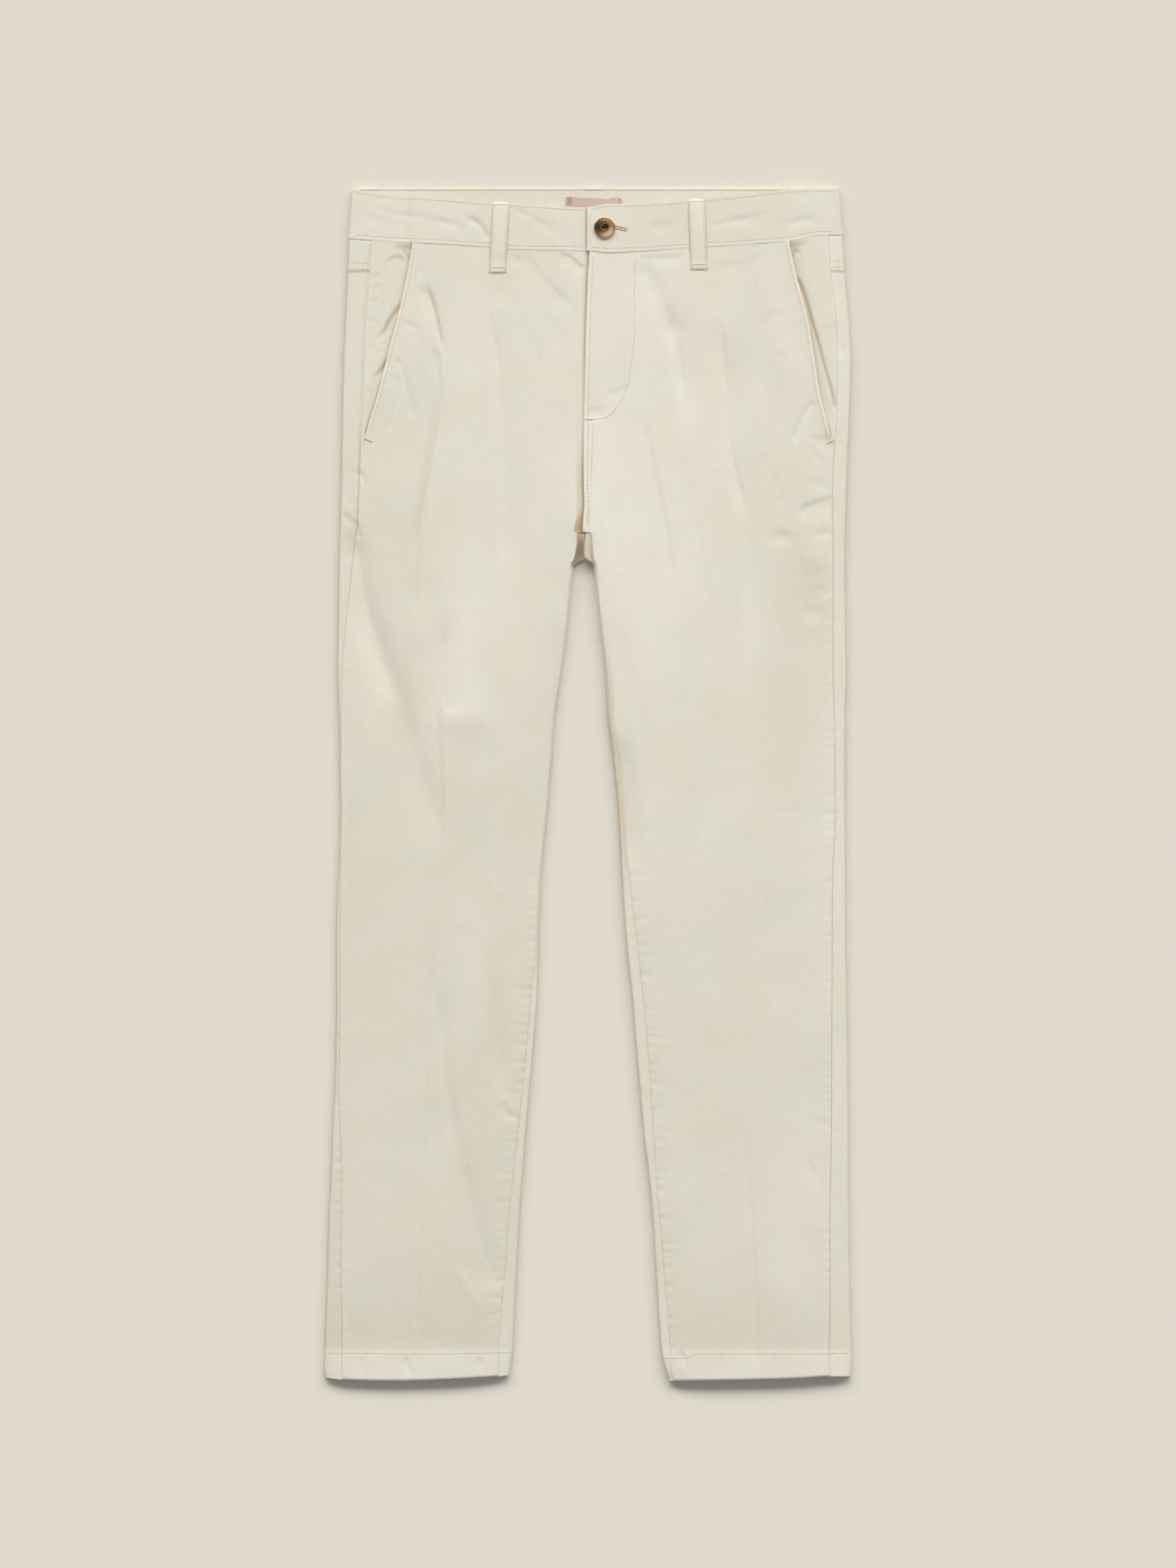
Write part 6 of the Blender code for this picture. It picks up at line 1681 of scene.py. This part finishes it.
def sew_all():
    left, right = LEFT.top, RIGHT.top

    def on_band(leg):
        return lambda x, y: band_height(x, y, leg)
    heights = dict(left=left, right=right, front_left=LEFT.front, front_right=RIGHT.front,
                   band_left=on_band(LEFT), band_right=on_band(RIGHT))
    for name, surface, colour, pitch, wide, points in STITCH_LINES:
        sew(colour, track(points), heights[surface], pitch=pitch, wide=wide)
    # band, along both of its edges
    for leg, x0, x1 in ((LEFT, -191.5, -2.2), (RIGHT, 2.0, 203.0)):
        x = np.arange(x0, x1, 2.0)
        sew("cream_band", np.stack([x, cubic(*FRONT_EDGE, x) - 1.9], axis=-1), on_band(leg), pitch=3.5)
        sew("cream_band", np.stack([x, cubic(*WAIST_SEAM, x) + 3.4], axis=-1), on_band(leg), pitch=3.5)
    x = np.arange(-188.0, 200.0, 2.0)
    sew("tan_band", np.stack([x, 0 * x + BACK_EDGE_Y - 1.5], axis=-1), lambda x, y: back_lift(x, 470.0 + 0 * y) + BAND, pitch=3.5)
    # inner seams
    for leg, top, low in ((LEFT, -70.0, -485.5), (RIGHT, 22.0, -486.0)):
        sew("cream_legs", line_of(leg, "inseam", 0.0, top, low), leg.top, pitch=2.9, wide=0.5, high=0.28, fill=0.62)
    # mouths
    for leg, top, low in ((LEFT, 441.5, 288.0), (RIGHT, 444.0, 283.0)):
        y = np.arange(top, low, -2.0)
        x = leg.mouth(y) + leg.inward * 2.7
        sew("cream_legs", np.stack([x, y], axis=-1), leg.front, pitch=3.4)
    # fly edge
    y = np.arange(434.0, 212.0, -2.0)
    sew("cream_legs", np.stack([RIGHT.inner(y) + 3.6, y], axis=-1), RIGHT.front, pitch=3.4)
    # front loops
    for name, leg, x_top, x_bottom in LOOPS:
        at = loop_surface(leg, x_top, x_bottom)
        for across in (-0.36, 0.36):
            down = np.linspace(0.03, 0.985, 22)
            x, y, z = at(down, across + 0 * down)
            dx, dy, dz = at(down + 0.012, across + 0 * down)
            stitch("cream_band", np.stack([x, y, z + 0.05], axis=-1),
                   np.stack([dx - x, dy - y, dz - z], axis=-1), 1.7, 0.5, 0.3)
            x, y, z = at(down + 0.022, across + 0 * down)
            # painted shade of the pits between the loop's stitches
            stitch("tan_tacks_and_pit_shade", np.stack([x, y, z + 0.12], axis=-1), np.stack([dx - x, dy - y, dz - z], axis=-1), 1.1, 0.75, 0.2)
        for down, count in ((0.915, 22), (0.035, 18)):
            a = np.linspace(-0.42, 0.42, count)
            x, y, z = at(down + 0 * a, a)
            stitch("cream_band", np.stack([x, y, z + 0.1], axis=-1), np.stack([0 * x + 0.15, 0 * x + 1.0, 0 * x], axis=-1), 1.7, 0.5, 0.3)
            # painted shade of the pits beside the cross rows
            stitch("tan_tacks_and_pit_shade", np.stack([x, y - 0.55, z + 0.12], axis=-1)[::2], np.stack([0 * x + 1.0, 0 * x, 0 * x], axis=-1)[::2], 0.8, 0.6, 0.2)
    for name, centre, direction, long, wide, surface, colour in TACKS:
        tack(colour, centre, direction, long, wide, heights[surface])
    # the label is caught down at its corners
    for share, count in ((0.035, 4), (0.955, 3)):
        x0 = LABEL["x0"] + (LABEL["x1"] - LABEL["x0"]) * share
        for k in range(count):
            y0 = LABEL["y1"] - 1.2 * share - 0.9 - 1.6 * k
            for dx in (0.0, 2.1) if share < 0.5 else (0.0,):
                stitch("tan_label", np.array([[x0 + dx, y0, BAND + 1.25]]), np.array([[1.0, 0.35, 0.0]]), 1.5, 0.5, 0.4)
    x = np.arange(LABEL["x0"] + 1.0, LABEL["x1"] - 1.0, 1.7)
    share = (x - LABEL["x0"]) / (LABEL["x1"] - LABEL["x0"])
    stitch("tan_label", np.column_stack([x, LABEL["y1"] - 0.35 - 1.2 * share, 0 * x + BAND + 0.95]),
           np.tile([1.0, 0.0, 0.0], (len(x), 1)), 1.3, 0.32, 0.3)
    for x_mid in BACK_LOOP_X:
        tack("cream_band", (x_mid, BACK_EDGE_Y - 1.3), 0.0, 12.5, 1.3, lambda x, y: back_lift(x, 470.0 + 0 * y) + BAND, 20)
    # the buttonhole's whipping
    a, b = np.array(BUTTONHOLE[0]), np.array(BUTTONHOLE[1])
    axis = (b - a) / np.linalg.norm(b - a)
    side = np.array([-axis[1], axis[0]])
    height = on_band(RIGHT)
    for sign in (-1, 1):
        t = np.linspace(0.0, 1.0, 26)[:, None]
        p = a + (b - a) * t + side * sign * 0.95
        z = height(p[:, 0], p[:, 1]) + 0.2
        stitch("tan_hole", np.column_stack([p, z]), np.column_stack([np.tile(side, (26, 1)), np.zeros(26)]), 1.7, 0.55, 0.5)
    t = np.radians(np.linspace(-80, 80, 9))
    for end, sign in ((a, -1), (b, 1)):
        d = axis[None] * np.cos(t)[:, None] * sign + side[None] * np.sin(t)[:, None]
        p = end + d * 0.95
        z = height(p[:, 0], p[:, 1]) + 0.2
        stitch("tan_hole", np.column_stack([p, z]), np.column_stack([d, np.zeros(9)]), 1.6, 0.55, 0.5)


# ------------------------------------------------------------------------------- assembly
def assemble():
    for side, leg in (("left", LEFT), ("right", RIGHT)):
        place(front_panel("front_%s_cloth" % side, leg), "twill", "front_" + side)
        place(back_panel("back_%s_cloth" % side, leg), "twill", "back_" + side)
        place(yoke("yoke_%s_cloth" % side, leg), "twill", "yoke_" + side)
        place(facing_panel("pocket_facing_%s_cloth" % side, leg), "inside", "pocket_facing_" + side)
    place(shield_panel(), "inside", "fly_shield")
    place(waistband(), "band", "waistband")
    for name, leg, x_top, x_bottom in LOOPS:
        place(front_loop(name, leg, x_top, x_bottom), "loop", name)
    for name, x in zip(("belt_loop_back_left", "belt_loop_back_centre", "belt_loop_back_right"), BACK_LOOP_X):
        place(back_loop(name, x), "loop", name)
    place(label_piece(), "satin", "label")
    place(button_piece(), "rose_metal", "button")
    sew_all()
    for piece in threads():
        place(piece, "loop")
    floor = ["floor"]
    return floor


# ---------------------------------------------------------------- floor, lights and camera
def studio():
    scene = bpy.context.scene
    scene.view_settings.view_transform = "Standard"
    scene.view_settings.look = "None"
    scene.view_settings.exposure = 0.0
    scene.view_settings.gamma = 1.0
    # floor, painted paler where the softbox's light is weaker and darker where it is stronger, so that it renders
    # evenly bright
    size, n = 9.0, 36
    axis = np.linspace(-size, size, n)
    gx, gy = np.meshgrid(axis, axis, indexing="ij")
    points = np.stack([gx, gy, np.full(gx.shape, -0.00025)], axis=-1).reshape(-1, 3)
    mesh = bpy.data.meshes.new("floor")
    mesh.from_pydata(points.tolist(), [], cells(n, n, 0)[:, ::-1].tolist())
    mesh.update()
    floor = bpy.data.objects.new("floor", mesh)
    scene.collection.objects.link(floor)
    made, tree, main = shader("pale_paper", 0.9, specular=0.15)
    spot = tree.nodes.new("ShaderNodeTexCoord").outputs["Object"]
    parts = node(tree, "ShaderNodeSeparateXYZ")
    tree.links.new(spot, parts.inputs[0])
    along = node(tree, "ShaderNodeMapRange")
    along.inputs["From Min"].default_value = -0.65
    along.inputs["From Max"].default_value = 0.65
    tree.links.new(parts.outputs["Y"], along.inputs["Value"])
    # painted light: paler towards -Y, away from the softbox
    tree.links.new(two_tones(tree, along.outputs[0], FLOOR_AWAY_FROM_LAMP, FLOOR_TOWARDS_LAMP), main.inputs["Base Color"])
    mesh.materials.append(made)
    # soft dome
    world = bpy.data.worlds.new("studio")
    scene.world = world
    world.use_nodes = True
    tree = world.node_tree
    sky = tree.nodes["Background"]
    sky.inputs["Color"].default_value = (1.0, 1.0, 1.0, 1.0)
    sky.inputs["Strength"].default_value = DOME
    # one broad softbox beyond the waist, a little to the right
    data = bpy.data.lights.new("softbox", "AREA")
    data.shape = "RECTANGLE"
    data.size, data.size_y = KEY["wide"], KEY["tall"]
    data.energy = KEY["energy"]
    data.color = KEY["colour"]
    lamp = bpy.data.objects.new("softbox", data)
    scene.collection.objects.link(lamp)
    a, e = math.radians(KEY["azimuth"]), math.radians(KEY["elevation"])
    from mathutils import Vector
    away = Vector((math.sin(a) * math.cos(e), math.cos(a) * math.cos(e), math.sin(e)))
    lamp.location = away * KEY["distance"]
    lamp.rotation_mode = "QUATERNION"
    lamp.rotation_quaternion = away.to_track_quat("Z", "Y")
    lamp.visible_camera = False
    # two cards that only mirrors see: one bright, one black
    for name, spot, wide, glow in (("card_bright", (1.4, -1.7, 3.2), 4.4, 1.1), ("card_black", (-1.0, 1.2, 3.3), 2.7, 0.0)):
        data = bpy.data.meshes.new(name)
        h = 0.5 * wide
        data.from_pydata([(-h, -h, 0.0), (h, -h, 0.0), (h, h, 0.0), (-h, h, 0.0)], [], [(0, 1, 2, 3)])
        card = bpy.data.objects.new(name, data)
        scene.collection.objects.link(card)
        spot = Vector(spot)
        card.location = spot
        card.rotation_mode = "QUATERNION"
        card.rotation_quaternion = spot.to_track_quat("Z", "Y")
        made = bpy.data.materials.new(name)
        made.use_nodes = True
        nodes = made.node_tree.nodes
        nodes.clear()
        out = nodes.new("ShaderNodeOutputMaterial")
        light = nodes.new("ShaderNodeEmission")
        light.inputs["Color"].default_value = (1.0, 1.0, 1.0, 1.0)
        light.inputs["Strength"].default_value = glow
        made.node_tree.links.new(light.outputs[0], out.inputs["Surface"])
        data.materials.append(made)
        card.visible_camera = card.visible_diffuse = card.visible_shadow = card.visible_transmission = False
    # straight down, as it is seen
    data = bpy.data.cameras.new("camera")
    data.lens, data.sensor_width = 100.0, 36.0
    data.clip_start, data.clip_end = 0.1, 50.0
    eye = bpy.data.objects.new("camera", data)
    scene.collection.objects.link(eye)
    eye.location = (0.0, 0.0, 3.575)
    scene.camera = eye


# floor colours away from and towards the softbox, painted to even out its falloff
FLOOR_AWAY_FROM_LAMP, FLOOR_TOWARDS_LAMP = (0.802, 0.752, 0.661), (0.698, 0.656, 0.575)
DOME = 0.30
KEY = dict(azimuth=3.0, elevation=31.0, distance=12.0, wide=34.0, tall=4.4, energy=3850.0, colour=(1.0, 1.0, 1.0))

assemble()
studio()
